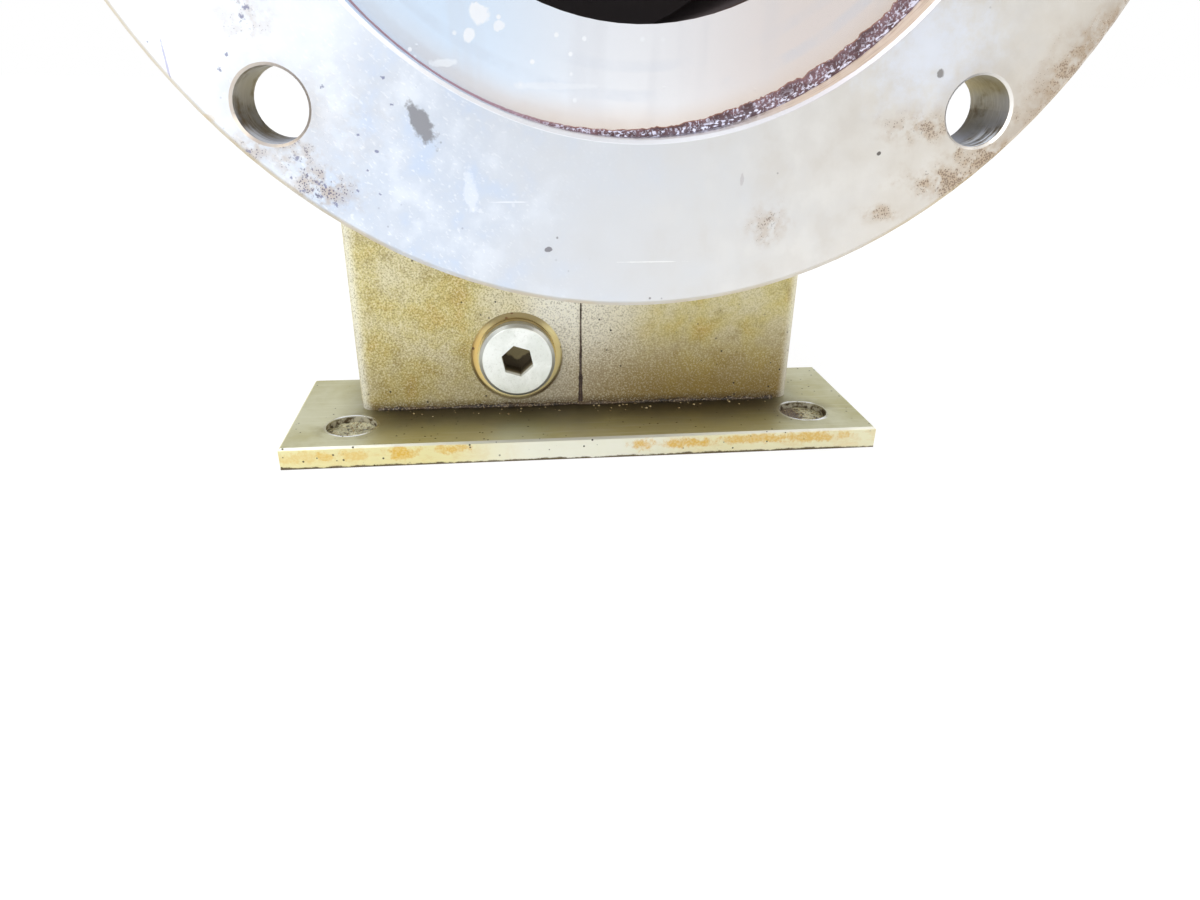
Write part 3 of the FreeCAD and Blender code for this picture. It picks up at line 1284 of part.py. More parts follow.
def make_plugs():
    """Drain and level plugs, breather, and their sealing washers."""
    collar = "plug_collar / 2"
    collar_top = "plug_stand + plug_collar_height"
    seats = {
        "drain": dict(x="0 - drain_offset", y="0 - half_depth", z="drain_height", turn=-QUARTER),
        "level": dict(x="level_offset", y="half_depth", z="level_height", turn=QUARTER),
        "breather": dict(x="breather_place", z="housing_top", turn=-QUARTER, about=(0, 1, 0)),
    }
    shank = [("plug_stand - plug_thread_length", "0"), ("plug_stand - plug_thread_length", "plug_thread / 2"),
             ("plug_stand", "plug_thread / 2"), ("plug_stand", collar)]
    for name in ("drain", "level"):
        plug = turned(f"{name}_plug", shank + [
            (f"{collar_top} - plug_chamfer", collar), (collar_top, f"{collar} - plug_chamfer"),
            (collar_top, "0")])
        recess = sketch_on(plug, "YZ_Plane", f"{name}_plug_socket", lift=collar_top)
        pocket(plug, hexagon(recess, "plug_socket", turn="plug_socket_turn"), "plug_socket_depth")
        node(seat(plug, **seats[name]))
    neck_top = f"{collar_top} + breather_neck_height"
    cap_top = f"{neck_top} + breather_cap_height"
    breather = turned("breather_plug", shank + [
        (collar_top, collar), (collar_top, "breather_neck / 2"), (neck_top, "breather_neck / 2"),
        (neck_top, "breather_cap / 2"), (f"{cap_top} - plug_chamfer", "breather_cap / 2"),
        (cap_top, "breather_cap / 2 - plug_chamfer"), (cap_top, "0")])
    vent = sketch_on(breather, "XY_Plane", "breather_vent")
    circles(vent, "breather_bore / 2", [(f"{collar_top} + breather_neck_height / 2", "0")])
    pocket(breather, vent, "breather_cap", both=True)
    node(seat(breather, **seats["breather"]))
    washers = []
    inner = "plug_thread / 2 + plug_washer_gap"
    for name, place in seats.items():
        washer = turned(f"{name}_washer", [
            ("0 - plug_spot_depth", inner), ("0 - plug_spot_depth", "plug_washer / 2"),
            ("plug_stand", "plug_washer / 2"), ("plug_stand", inner)])
        washers.append(seat(washer, **place))
    group("plug_washers", washers)


make_housing()
make_clamps()
make_feet()
make_adapter()
make_rear_cover()
make_worm_line()
make_coupling()
make_wheel()
make_output_line()
make_plugs()
doc.recompute()

for item in doc.Objects:
    if {"Invalid", "Error"} & set(item.State):
        raise RuntimeError(f"{item.Label} did not build: {item.State}")
for item in nodes:
    if item.Shape.isNull() or not item.Shape.isValid():
        raise RuntimeError(f"{item.Label} has no valid shape")

os.makedirs("parts", exist_ok=True)
for item in nodes:
    item.Shape.exportStep(f"parts/{item.Label}.step")
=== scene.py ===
"""Looks of a worm gear reducer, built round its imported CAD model.

The CAD nodes keep their shapes and get procedural finishes that follow their own coordinates: a turned
aluminium motor flange, a stained casting, plated foot bars, zinc plugs, dark oily inner pieces. Grime that
has a body of its own is made as meshes: beads along the seams and loose grit by Geometry Nodes, the caked ring
in the flange's recess and the beds of grit in the foot holes point by point.
"""

from __future__ import annotations

import json
import logging
import math
from dataclasses import dataclass
from enum import Enum
from typing import Any

import bpy
from mathutils import Matrix, Vector, noise

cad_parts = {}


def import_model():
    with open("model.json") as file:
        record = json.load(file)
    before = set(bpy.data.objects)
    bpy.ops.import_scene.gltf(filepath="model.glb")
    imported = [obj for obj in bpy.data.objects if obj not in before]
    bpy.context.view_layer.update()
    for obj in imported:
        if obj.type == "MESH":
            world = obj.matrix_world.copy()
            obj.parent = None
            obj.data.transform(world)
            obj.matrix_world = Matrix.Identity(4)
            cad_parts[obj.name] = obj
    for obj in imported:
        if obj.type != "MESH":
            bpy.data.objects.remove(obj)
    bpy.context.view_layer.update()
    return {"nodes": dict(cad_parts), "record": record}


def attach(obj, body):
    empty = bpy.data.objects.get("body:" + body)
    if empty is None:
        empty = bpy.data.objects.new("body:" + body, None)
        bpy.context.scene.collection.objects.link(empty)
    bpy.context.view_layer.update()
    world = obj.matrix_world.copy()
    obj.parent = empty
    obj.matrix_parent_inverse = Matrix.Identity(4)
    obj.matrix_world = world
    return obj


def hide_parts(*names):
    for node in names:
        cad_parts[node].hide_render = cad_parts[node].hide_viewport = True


LOG = logging.getLogger("reducer")
MM = 0.001

Socket = bpy.types.NodeSocket
Value = float | Socket
Colour = tuple[float, float, float]
Place = tuple[float, float, float]

WORM_HEIGHT = 143 * MM
FLANGE_FACE = -159.5 * MM
FLANGE_BOLT_STEP = 52.76 * MM
PILOT_RADIUS = 57.15 * MM
PILOT_FLOOR = FLANGE_FACE + 6.5 * MM
BAR_TOP = 6 * MM
HOUSING_FRONT = 68 * MM
HOUSING_HALF = 62.5 * MM
FOOT_HOLE = (63.5 * MM, 78.5 * MM)
DRAIN = (-18 * MM, 21 * MM)
LEVEL = (30 * MM, 84 * MM)
PLUG_FACE = 72.3 * MM
OUTPUT_HEIGHT = 80 * MM


class Op(Enum):
    """Operations of a Math node that the finishes use."""

    ADD = "ADD"
    SUBTRACT = "SUBTRACT"
    MULTIPLY = "MULTIPLY"
    DIVIDE = "DIVIDE"
    MAXIMUM = "MAXIMUM"
    POWER = "POWER"
    ABSOLUTE = "ABSOLUTE"
    SINE = "SINE"
    SQRT = "SQRT"


def tone(red: int, green: int, blue: int) -> Colour:
    """Turn a colour as a screen shows it into the shader's linear values.

    Args:
        red: Red from 0 to 255.
        green: Green from 0 to 255.
        blue: Blue from 0 to 255.

    Returns:
        The linear colour.
    """

    def channel(step: int) -> float:
        """Linear value of one channel."""
        level = step / 255
        return level / 12.92 if level <= 0.04045 else ((level + 0.055) / 1.055) ** 2.4

    return channel(red), channel(green), channel(blue)


class Graph:
    """Node tree of one material, with short names for the nodes that the finishes are made of."""

    def __init__(self, name: str) -> None:
        """Start a material with a Principled shader and object coordinates.

        Args:
            name: The material's name.
        """
        self.material = bpy.data.materials.new(name)
        self.material.use_nodes = True
        self.tree = self.material.node_tree
        self.tree.nodes.clear()
        self.output = self.tree.nodes.new("ShaderNodeOutputMaterial")
        self.shader = self.tree.nodes.new("ShaderNodeBsdfPrincipled")
        self.tree.links.new(self.shader.outputs[0], self.output.inputs["Surface"])
        self.place = self.tree.nodes.new("ShaderNodeTexCoord").outputs["Object"]
        split = self.tree.nodes.new("ShaderNodeSeparateXYZ")
        self.tree.links.new(self.place, split.inputs[0])
        self.x, self.y, self.z = split.outputs

    def feed(self, socket: Socket, value: Value | Colour) -> None:
        """Link a socket's value, or set it where it is the same all over.

        Args:
            socket: The input to feed.
            value: A socket, a number or a colour.
        """
        if isinstance(value, Socket):
            self.tree.links.new(value, socket)
        elif isinstance(value, tuple):
            socket.default_value = (*value, 1.0)
        else:
            socket.default_value = value

    def math(self, op: Op, first: Value, second: Value = 0.0) -> Socket:
        """Combine two values.

        Args:
            op: The operation.
            first: First value.
            second: Second value, where the operation takes one.

        Returns:
            The result.
        """
        node = self.tree.nodes.new("ShaderNodeMath")
        node.operation = op.value
        self.feed(node.inputs[0], first)
        self.feed(node.inputs[1], second)
        return node.outputs[0]

    def rise(self, value: Value, low: float, high: float) -> Socket:
        """Smooth step from 0 at one value to 1 at another.

        Args:
            value: What is measured.
            low: Where the step starts.
            high: Where it ends. It may lie below the start.

        Returns:
            The step, from 0 to 1.
        """
        node = self.tree.nodes.new("ShaderNodeMapRange")
        node.interpolation_type = "SMOOTHSTEP"
        flip = low > high
        self.feed(node.inputs["Value"], value)
        node.inputs["From Min"].default_value = min(low, high)
        node.inputs["From Max"].default_value = max(low, high)
        node.inputs["To Min"].default_value = 1.0 if flip else 0.0
        node.inputs["To Max"].default_value = 0.0 if flip else 1.0
        return node.outputs[0]

    def band(self, value: Value, low: float, high: float, soft: float) -> Socket:
        """1 between two values and 0 outside, with soft edges.

        Args:
            value: What is measured.
            low: Lower edge.
            high: Upper edge.
            soft: Width of each edge.

        Returns:
            The band, from 0 to 1.
        """
        return self.both(self.rise(value, low - soft, low), self.rise(value, high + soft, high))

    def both(self, *factors: Value) -> Socket:
        """Product of several factors.

        Args:
            *factors: Values from 0 to 1.

        Returns:
            Their product.
        """
        result = factors[0]
        for factor in factors[1:]:
            result = self.math(Op.MULTIPLY, result, factor)
        return result

    def most(self, *factors: Value) -> Socket:
        """Highest of several factors.

        Args:
            *factors: Values from 0 to 1.

        Returns:
            The highest at each place.
        """
        result = factors[0]
        for factor in factors[1:]:
            result = self.math(Op.MAXIMUM, result, factor)
        return result

    def stray(self, value: Value, pattern: Value, size: float) -> Socket:
        """Value that a pattern pushes about.

        Args:
            value: What is pushed.
            pattern: Noise, or another value that pushes it.
            size: What the pattern adds where it is 1.

        Returns:
            The sum.
        """
        return self.math(Op.ADD, value, self.math(Op.MULTIPLY, pattern, size))

    def distance(self, across: Value, up: Value) -> Socket:
        """Length of a vector given by two legs.

        Args:
            across: First leg.
            up: Second leg.

        Returns:
            The length.
        """
        squares = self.math(Op.ADD, self.math(Op.POWER, across, 2.0), self.math(Op.POWER, up, 2.0))
        return self.math(Op.SQRT, squares)

    def noise(self, scale: float, detail: float = 4.0, rough: float = 0.55, warp: float = 0.0,
              stretch: Place = (1.0, 1.0, 1.0), shift: float = 0.0, turn: float = 0.0) -> Socket:
        """Cloudy noise on the object's own coordinates.

        Args:
            scale: Clouds to the metre.
            detail: Octaves.
            rough: Weight of the finer octaves.
            warp: Distortion.
            stretch: Factor on each coordinate, so that a small one draws the clouds out along it.
            shift: Offset that tells one pattern from another.
            turn: Angle about Y by which a stretched pattern leans, in radians.

        Returns:
            The noise, from 0 to 1.
        """
        mapping = self.tree.nodes.new("ShaderNodeMapping")
        mapping.vector_type = "TEXTURE"
        mapping.inputs["Scale"].default_value = tuple(1 / factor for factor in stretch)
        mapping.inputs["Location"].default_value = (shift, 2 * shift, 3 * shift)
        mapping.inputs["Rotation"].default_value = (0.0, turn, 0.0)
        self.tree.links.new(self.place, mapping.inputs["Vector"])
        node = self.tree.nodes.new("ShaderNodeTexNoise")
        self.tree.links.new(mapping.outputs[0], node.inputs["Vector"])
        node.inputs["Scale"].default_value = scale
        node.inputs["Detail"].default_value = detail
        node.inputs["Roughness"].default_value = rough
        node.inputs["Distortion"].default_value = warp
        return node.outputs[0]

    def sway(self, size: float, scale: float, detail: float = 4.0, rough: float = 0.55, shift: float = 0.0) -> Socket:
        """Noise that swings evenly about zero, for ragged edges.

        Args:
            size: From its lowest to its highest value.
            scale: Clouds to the metre.
            detail: Octaves.
            rough: Weight of the finer octaves.
            shift: Offset that tells one pattern from another.

        Returns:
            The noise.
        """
        centred = self.math(Op.SUBTRACT, self.noise(scale, detail, rough, shift=shift), 0.5)
        return self.math(Op.MULTIPLY, centred, size)

    def cells(self, scale: float, shift: float = 0.0) -> Socket:
        """Distance to the nearest of many scattered points, for specks and grains.

        Args:
            scale: Points to the metre.
            shift: Offset that tells one pattern from another.

        Returns:
            The distance, in cell widths.
        """
        mapping = self.tree.nodes.new("ShaderNodeMapping")
        mapping.inputs["Location"].default_value = (shift, shift, shift)
        self.tree.links.new(self.place, mapping.inputs["Vector"])
        node = self.tree.nodes.new("ShaderNodeTexVoronoi")
        self.tree.links.new(mapping.outputs[0], node.inputs["Vector"])
        node.inputs["Scale"].default_value = scale
        return node.outputs["Distance"]

    def mix(self, factor: Value, first: Value | Colour, second: Value | Colour) -> Socket:
        """Blend two colours.

        Args:
            factor: 0 gives the first, 1 the second.
            first: First colour.
            second: Second colour.

        Returns:
            The blend.
        """
        node = self.tree.nodes.new("ShaderNodeMix")
        node.data_type = "RGBA"
        self.feed(node.inputs[0], factor)
        self.feed(node.inputs[6], first)
        self.feed(node.inputs[7], second)
        return node.outputs[2]

    def lay(self, under: Value | Colour, over: Value | Colour, *factors: Value) -> Socket:
        """Lay one colour over another where all the factors are high.

        Args:
            under: Colour below.
            over: Colour on top.
            *factors: Values from 0 to 1, whose product says how much of the top shows.

        Returns:
            The blend.
        """
        return self.mix(self.both(*factors), under, over)

    def level(self, factor: Value, first: Value, second: Value) -> Socket:
        """Blend two numbers.

        Args:
            factor: 0 gives the first, 1 the second.
            first: First number.
            second: Second number.

        Returns:
            The blend.
        """
        node = self.tree.nodes.new("ShaderNodeMix")
        node.data_type = "FLOAT"
        self.feed(node.inputs[0], factor)
        self.feed(node.inputs[2], first)
        self.feed(node.inputs[3], second)
        return node.outputs[0]

    def patch(self, mark: Blot | Crowd, ragged: Socket, outer: float, inner: float) -> Socket:
        """Mask of an ellipse across X and Z with a ragged edge.

        Args:
            mark: Where the ellipse lies.
            ragged: What its edge wanders by.
            outer: Distance from the middle, in half sizes, where the mask starts.
            inner: Distance where it is full.

        Returns:
            The mask, from 0 to 1.
        """
        across = self.math(Op.SUBTRACT, self.x, mark.across * MM)
        above = self.math(Op.SUBTRACT, self.z, mark.up * MM)
        lean = self.math(Op.ADD, across, self.math(Op.MULTIPLY, above, mark.lean))
        spread = self.distance(self.math(Op.DIVIDE, lean, mark.half_width * MM),
                               self.math(Op.DIVIDE, above, mark.half_height * MM))
        return self.rise(self.math(Op.ADD, spread, ragged), outer, inner)

    def bump(self, height: Value, strength: float, depth: float, over: Socket | None = None) -> Socket:
        """Relief from a height.

        Args:
            height: Height from 0 to 1.
            strength: How much of it shows.
            depth: Height of 1, in metres.
            over: Relief that this one lies on.

        Returns:
            The bent normal.
        """
        node = self.tree.nodes.new("ShaderNodeBump")
        node.inputs["Strength"].default_value = strength
        node.inputs["Distance"].default_value = depth
        self.feed(node.inputs["Height"], height)
        if over is not None:
            self.tree.links.new(over, node.inputs["Normal"])
        return node.outputs[0]

    def finish(self, **inputs: Value | Colour) -> bpy.types.Material:
        """Feed the shader's inputs.

        Args:
            **inputs: Values by the input's name, in lower case with _ for spaces.

        Returns:
            The finished material.
        """
        for socket in self.shader.inputs:
            key = socket.name.lower().replace(" ", "_")
            if key in inputs:
                self.feed(socket, inputs[key])
        return self.material


@dataclass(frozen=True)
class Blot:
    """A mark on the flange: place and half sizes in millimetres, lean, colour, strength, and which face."""

    across: float
    up: float
    half_width: float
    half_height: float
    lean: float
    colour: Colour
    strength: float
    recessed: bool = False


@dataclass(frozen=True)
class Crowd:
    """A crowd of specks on the flange's face: place and half sizes in millimetres, and how thick they lie."""

    across: float
    up: float
    half_width: float
    half_height: float
    lean: float
    thick: float


@dataclass(frozen=True)
class MachinedFlange:
    """Turned aluminium of the motor adapter: bright face, caked recess, dark bell, cast neck."""

    # cool and warm: tones of the face's painted reflection
    cool: Colour = tone(206, 214, 226)
    warm: Colour = tone(221, 213, 200)
    dirt: Colour = tone(104, 84, 70)
    wall: Colour = tone(230, 212, 192)
    dark: Colour = tone(90, 84, 88)
    rim: Colour = tone(196, 172, 118)
    cast: Colour = tone(190, 182, 162)
    blots: tuple[Blot, ...] = (
        Blot(-32.3, 88.2, 1.5, 2.6, 0.45, tone(146, 145, 148), 0.92),
        Blot(-25.6, 78.6, 1.0, 2.8, 0.1, tone(244, 246, 250), 0.4),
        Blot(-14.1, 69.8, 0.5, 0.32, 0.0, tone(124, 120, 124), 0.85),
        Blot(37.6, 84.1, 0.32, 0.3, 0.0, tone(96, 90, 84), 0.9),
        Blot(45.3, 95.6, 0.6, 0.6, 0.0, tone(128, 122, 116), 0.8),
        Blot(16.0, 80.2, 0.3, 1.0, 0.0, tone(176, 166, 166), 0.4),
        Blot(-20.4, 77.0, 2.4, 0.12, 0.0, tone(250, 250, 252), 0.45),
        Blot(2.4, 67.7, 5.0, 0.10, 0.02, tone(250, 249, 246), 0.5),
        Blot(-23.2, 102.3, 1.5, 1.3, 0.2, tone(255, 255, 255), 0.95, True),
        Blot(-25.0, 99.6, 0.9, 0.9, 0.0, tone(255, 255, 255), 0.9, True),
        Blot(-20.6, 101.0, 0.7, 0.6, 0.0, tone(255, 255, 255), 0.85, True),
        Blot(-28.6, 96.0, 1.8, 0.6, -0.5, tone(252, 254, 255), 0.6, True),
        Blot(-12.0, 93.0, 6.0, 0.5, -0.1, tone(250, 250, 250), 0.35, True),
        Blot(-65.55, 95.6, 0.16, 2.4, 0.06, tone(150, 140, 178), 0.6),
        Blot(-61.9, 88.7, 1.1, 0.6, 0.8, tone(206, 178, 126), 0.35),
    )
    chips: tuple[tuple[float, float, float, float], ...] = (
        (-54.0, 102.3, 0.55, 0.35), (-54.7, 101.2, 0.4, 0.45), (-58.7, 94.7, 0.3, 0.35), (-57.5, 96.6, 0.25, 0.3),
        (-45.4, 92.7, 0.3, 0.3), (-50.1, 83.2, 0.45, 0.55), (-47.6, 79.8, 0.42, 0.34), (-46.7, 79.4, 0.32, 0.34),
        (-45.4, 76.8, 0.36, 0.42), (-41.2, 86.5, 0.26, 0.24), (-38.8, 84.2, 0.3, 0.26), (-40.4, 81.6, 0.22, 0.24),
        (-42.1, 78.7, 0.28, 0.24), (-38.9, 78.2, 0.26, 0.2), (-47.4, 77.9, 0.3, 0.24), (-51.3, 80.6, 0.34, 0.26),
        (-56.7, 84.2, 0.5, 0.3), (-49.9, 78.7, 0.6, 0.26), (-36.0, 90.5, 0.24, 0.24), (-37.0, 94.0, 0.3, 0.2),
    )
    crowds: tuple[Crowd, ...] = (
        Crowd(57.9, 83.2, 7.0, 3.0, 0.3, 1.0),
        Crowd(51.0, 79.8, 7.0, 2.2, 0.3, 1.0),
        Crowd(44.5, 88.1, 6.0, 2.2, 0.0, 0.75),
        Crowd(67.5, 98.0, 3.0, 9.0, -0.75, 0.9),
        Crowd(39.3, 75.1, 2.8, 1.2, 0.0, 0.75),
        Crowd(20.9, 73.6, 2.8, 2.6, 0.0, 0.55),
        Crowd(63.0, 92.0, 4.0, 8.0, -0.3, 0.5),
        Crowd(-47.0, 79.4, 4.0, 2.6, 0.5, 0.8),
        Crowd(-50.5, 83.5, 3.0, 3.5, 0.3, 0.6),
        Crowd(-56.4, 84.6, 3.0, 1.6, 0.0, 0.6),
        Crowd(-54.6, 101.0, 3.0, 3.0, 0.0, 0.45),
        Crowd(-46.0, 88.0, 9.0, 7.0, 0.0, 0.15),
    )
    # Where a painted bluish sheen lies on the face
    sheen: Crowd = Crowd(43.0, 99.0, 8.0, 7.0, 0.0, 0.6)

    def build(self) -> bpy.types.Material:
        """Make the material.

        Returns:
            The material.
        """
        graph = Graph("machined_flange")
        up = graph.math(Op.SUBTRACT, graph.z, WORM_HEIGHT)
        reach = graph.distance(graph.x, up)
        depth = graph.math(Op.SUBTRACT, graph.y, FLANGE_FACE)
        on_face = graph.rise(depth, 2 * MM, 1 * MM)
        floor = graph.both(graph.band(depth, 6 * MM, 7 * MM, 0.2 * MM), graph.rise(reach, 57.2 * MM, 57.1 * MM))
        clouds = graph.noise(55, 5, 0.6)
        ragged = graph.sway(2.4, 420, 4, 0.65, 0.9)

        # Face: painted reflection, bluish and cloudy on the left and warm on the right; a painted highlight at its
        # upper left; a painted bluish sheen near the right bolt hole; short pale flecks of brush marks, painted as
        # glints
        drift = graph.stray(graph.x, clouds, 50 * MM)
        reflection_warmth = graph.rise(drift, -35 * MM, 85 * MM)
        colour = graph.mix(reflection_warmth, self.cool, self.warm)
        colour = graph.lay(colour, tone(206, 208, 212), graph.rise(clouds, 0.45, 0.75), 0.3)
        mottle = graph.noise(170, 4, 0.55, shift=0.3)
        bluish_reflection = graph.rise(drift, 30 * MM, -20 * MM)
        # Painted reflection: pale and blue clouds on the left
        colour = graph.lay(colour, tone(246, 249, 253), graph.rise(mottle, 0.46, 0.70), bluish_reflection, 0.45)
        colour = graph.lay(colour, tone(192, 209, 234), graph.rise(mottle, 0.50, 0.30), bluish_reflection, 0.5)
        # Painted highlight towards the upper left
        painted_highlight = graph.rise(graph.math(Op.SUBTRACT, graph.z, drift), 90 * MM, 135 * MM)
        colour = graph.lay(colour, tone(248, 249, 251), painted_highlight, 0.75)
        worn = graph.rise(drift, 20 * MM, 50 * MM)
        colour = graph.lay(colour, tone(236, 233, 227), graph.rise(mottle, 0.48, 0.66), worn, 0.25)
        colour = graph.lay(colour, tone(200, 190, 176), graph.rise(mottle, 0.50, 0.34), worn, 0.22)
        # Painted bluish sheen near the right bolt hole
        sheen = graph.patch(self.sheen, ragged, 1.8, 0.0)
        colour = graph.lay(colour, tone(232, 238, 250), sheen, self.sheen.thick)
        # Pale flecks of brush marks, whose white is a painted glint
        flecks = graph.noise(2400, 3, 0.55, stretch=(0.5, 1.0, 1.0), shift=0.3, turn=0.7)
        colour = graph.lay(colour, tone(255, 255, 255), graph.rise(flecks, 0.56, 0.70), bluish_reflection, 0.36)

        # Crowds of brown specks, and lone pits
        crowd = graph.most(*(graph.both(graph.patch(group, ragged, 1.7, 0.2), on_face, group.thick)
                             for group in self.crowds))
        stain = graph.noise(480, 3, 0.6, shift=0.5)
        fine = graph.both(crowd, graph.rise(stain, 0.36, 0.56))
        rare = graph.both(crowd, graph.rise(graph.noise(330, 2, 0.5, shift=0.8), 0.46, 0.58))
        small = graph.math(Op.SUBTRACT, graph.cells(2900, 0.6), graph.both(fine, 0.55))
        crumbs = graph.noise(1250, 4, 0.75, shift=0.4)
        flakes = graph.both(graph.rise(crumbs, 0.57, 0.64), graph.rise(rare, 0.15, 0.6))
        dots = graph.most(graph.rise(small, 0.04, -0.06), flakes)
        stained = tone(178, 150, 116)
        colour = graph.lay(colour, stained, crowd, graph.rise(stain, 0.34, 0.56), 0.72)
        speck = graph.mix(graph.rise(graph.x, -30 * MM, 0.0), tone(98, 96, 118), self.dirt)
        colour = graph.lay(colour, speck, dots, graph.level(graph.rise(graph.x, 0.0, 10 * MM), 0.8, 0.66))
        lone = graph.rise(graph.noise(75, 2), 0.50, 0.60)
        pits = graph.both(graph.rise(graph.cells(260, 0.4), 0.07, 0.03), lone)
        colour = graph.lay(colour, tone(112, 106, 106), pits, 0.7)
        peppered = graph.rise(graph.noise(60, 2, shift=0.7), 0.44, 0.54)
        pepper = graph.both(graph.rise(graph.cells(460, 0.9), 0.10, 0.05), peppered,
                            graph.rise(graph.x, -20 * MM, -34 * MM))
        colour = graph.lay(colour, tone(124, 124, 146), pepper, 0.7)

        # Thin stained rim, bright broken edge of the recess with painted shade that dims it on the right
        rim = graph.both(graph.rise(reach, 81.5 * MM, 82.3 * MM), graph.rise(clouds, 0.30, 0.62))
        colour = graph.lay(colour, self.rim, rim, 0.6)
        haze = graph.both(graph.rise(reach, 74.5 * MM, 82.2 * MM), graph.rise(graph.x, 50 * MM, 60 * MM),
                          graph.rise(mottle, 0.38, 0.62), on_face)
        colour = graph.lay(colour, tone(172, 150, 124), haze, 0.5)
        past_pilot = graph.rise(reach, 57 * MM, 57.1 * MM)
        edge = graph.both(graph.rise(reach, 57.8 * MM, 57.6 * MM), past_pilot, graph.rise(depth, 0.6 * MM, 0.5 * MM))
        # Painted shade: the broken edge is white on the left and dimmed grey on the right
        edge_colour = graph.mix(graph.rise(graph.x, 5 * MM, 30 * MM), tone(250, 250, 252), tone(204, 198, 199))
        colour = graph.mix(edge, colour, edge_colour)

        # Wall of the recess: clean, with painted bluish reflection on the left, speckled with oil below, tan on the
        # far right
        wall = graph.both(graph.rise(depth, 0.5 * MM, 0.6 * MM), past_pilot, graph.rise(reach, 57.6 * MM, 57.3 * MM))
        spray = graph.mix(graph.rise(graph.noise(2000, 3, 0.6, shift=0.7), 0.42, 0.60), tone(120, 108, 122),
                          tone(226, 230, 240))
        spray = graph.mix(graph.rise(depth, 4.0 * MM, 2.6 * MM), spray, tone(246, 247, 250))
        # Painted bluish reflection on the left of the wall
        wall_colour = graph.mix(graph.rise(graph.x, -30 * MM, -8 * MM), tone(222, 234, 250), spray)
        lines = graph.noise(1600, 2, 0.5, stretch=(0.1, 1.0, 0.1), shift=0.2)
        tan = graph.lay(self.wall, tone(198, 174, 152), graph.rise(lines, 0.50, 0.64), 0.7)
        tanned = graph.rise(graph.x, 10 * MM, 26 * MM)
        wall_colour = graph.mix(tanned, wall_colour, tan)
        colour = graph.mix(wall, colour, wall_colour)

        # Recess floor: polished, with painted reflection that runs from bluish on the left to warm on the right and
        # lies in soft streaks, a few soft arcs, peach towards its outer corner
        # Painted reflection on the floor, bluish on the left and warm on the right
        cool_floor_reflection = graph.mix(graph.rise(graph.x, -30 * MM, 0.0), tone(226, 240, 254), tone(244, 243, 243))
        floor_colour = graph.mix(graph.rise(graph.x, -4 * MM, 28 * MM), cool_floor_reflection, tone(234, 222, 214))
        # Painted reflection in soft streaks
        reflected_streak = graph.noise(140, 3, 0.5, stretch=(1.0, 1.0, 0.12), shift=0.15)
        floor_colour = graph.lay(floor_colour, tone(216, 214, 216), graph.rise(reflected_streak, 0.46, 0.62), 0.22)
        arcs = graph.math(Op.SINE, graph.math(Op.MULTIPLY, reach, 1500.0))
        faint = graph.both(graph.rise(arcs, -0.2, 1.0), graph.rise(reach, 44 * MM, 50 * MM),
                           graph.rise(clouds, 0.40, 0.62))
        floor_colour = graph.lay(floor_colour, tone(208, 214, 224), faint, 0.35)
        corner = graph.rise(graph.stray(reach, clouds, 4 * MM), 53.5 * MM, 59.2 * MM)
        peach = graph.both(corner, graph.level(graph.rise(graph.x, -45 * MM, -10 * MM), 0.15, 0.7))
        floor_colour = graph.mix(peach, floor_colour, tone(226, 204, 182))
        spots = graph.both(graph.rise(graph.cells(360, 0.1), 0.15, 0.09), lone,
                           graph.rise(graph.x, 10 * MM, -12 * MM))
        floor_colour = graph.mix(spots, floor_colour, tone(255, 255, 255))
        colour = graph.mix(floor, colour, floor_colour)

        for blot in self.blots:
            where = floor if blot.recessed else on_face
            colour = graph.lay(colour, blot.colour, graph.patch(blot, ragged, 1.2, 0.8), where, blot.strength)
        jagged = graph.sway(3.6, 2600, 3, 0.7, 0.2)
        for place_and_size in self.chips:
            chip = Blot(*place_and_size, 0.2, tone(116, 118, 150), 0.75)
            colour = graph.lay(colour, chip.colour, graph.patch(chip, jagged, 1.0, 0.4), on_face, chip.strength)

        # Walls of the motor bolt holes: drilled and smeared, with pale drill rings painted as glints, painted bluish
        # reflection and painted glints on the lower wall, and a light broken edge
        hole = graph.distance(graph.math(Op.SUBTRACT, graph.math(Op.ABSOLUTE, graph.x), FLANGE_BOLT_STEP),
                              graph.math(Op.SUBTRACT, graph.math(Op.ABSOLUTE, up), FLANGE_BOLT_STEP))
        in_hole = graph.both(graph.rise(hole, 5.35 * MM, 5.2 * MM), graph.rise(depth, 0.3 * MM, 0.6 * MM))
        rings = graph.noise(1500, 3, 0.6, stretch=(0.12, 1.0, 0.12), shift=0.45)
        smear = graph.noise(210, 4, 0.6, stretch=(1.0, 0.6, 1.0), shift=0.45)
        hole_colour = graph.mix(graph.rise(smear, 0.36, 0.60), tone(122, 108, 86), tone(206, 207, 212))
        # Pale drill rings, painted as glints
        hole_colour = graph.lay(hole_colour, tone(236, 236, 240), graph.rise(rings, 0.48, 0.66), 0.4)
        hole_up = graph.math(Op.SUBTRACT, graph.z, WORM_HEIGHT - FLANGE_BOLT_STEP)
        # Painted glints low in the hole
        glint = graph.both(graph.rise(hole_up, -2.0 * MM, -4.2 * MM), graph.rise(rings, 0.40, 0.58),
                           graph.rise(depth, 7 * MM, 4 * MM))
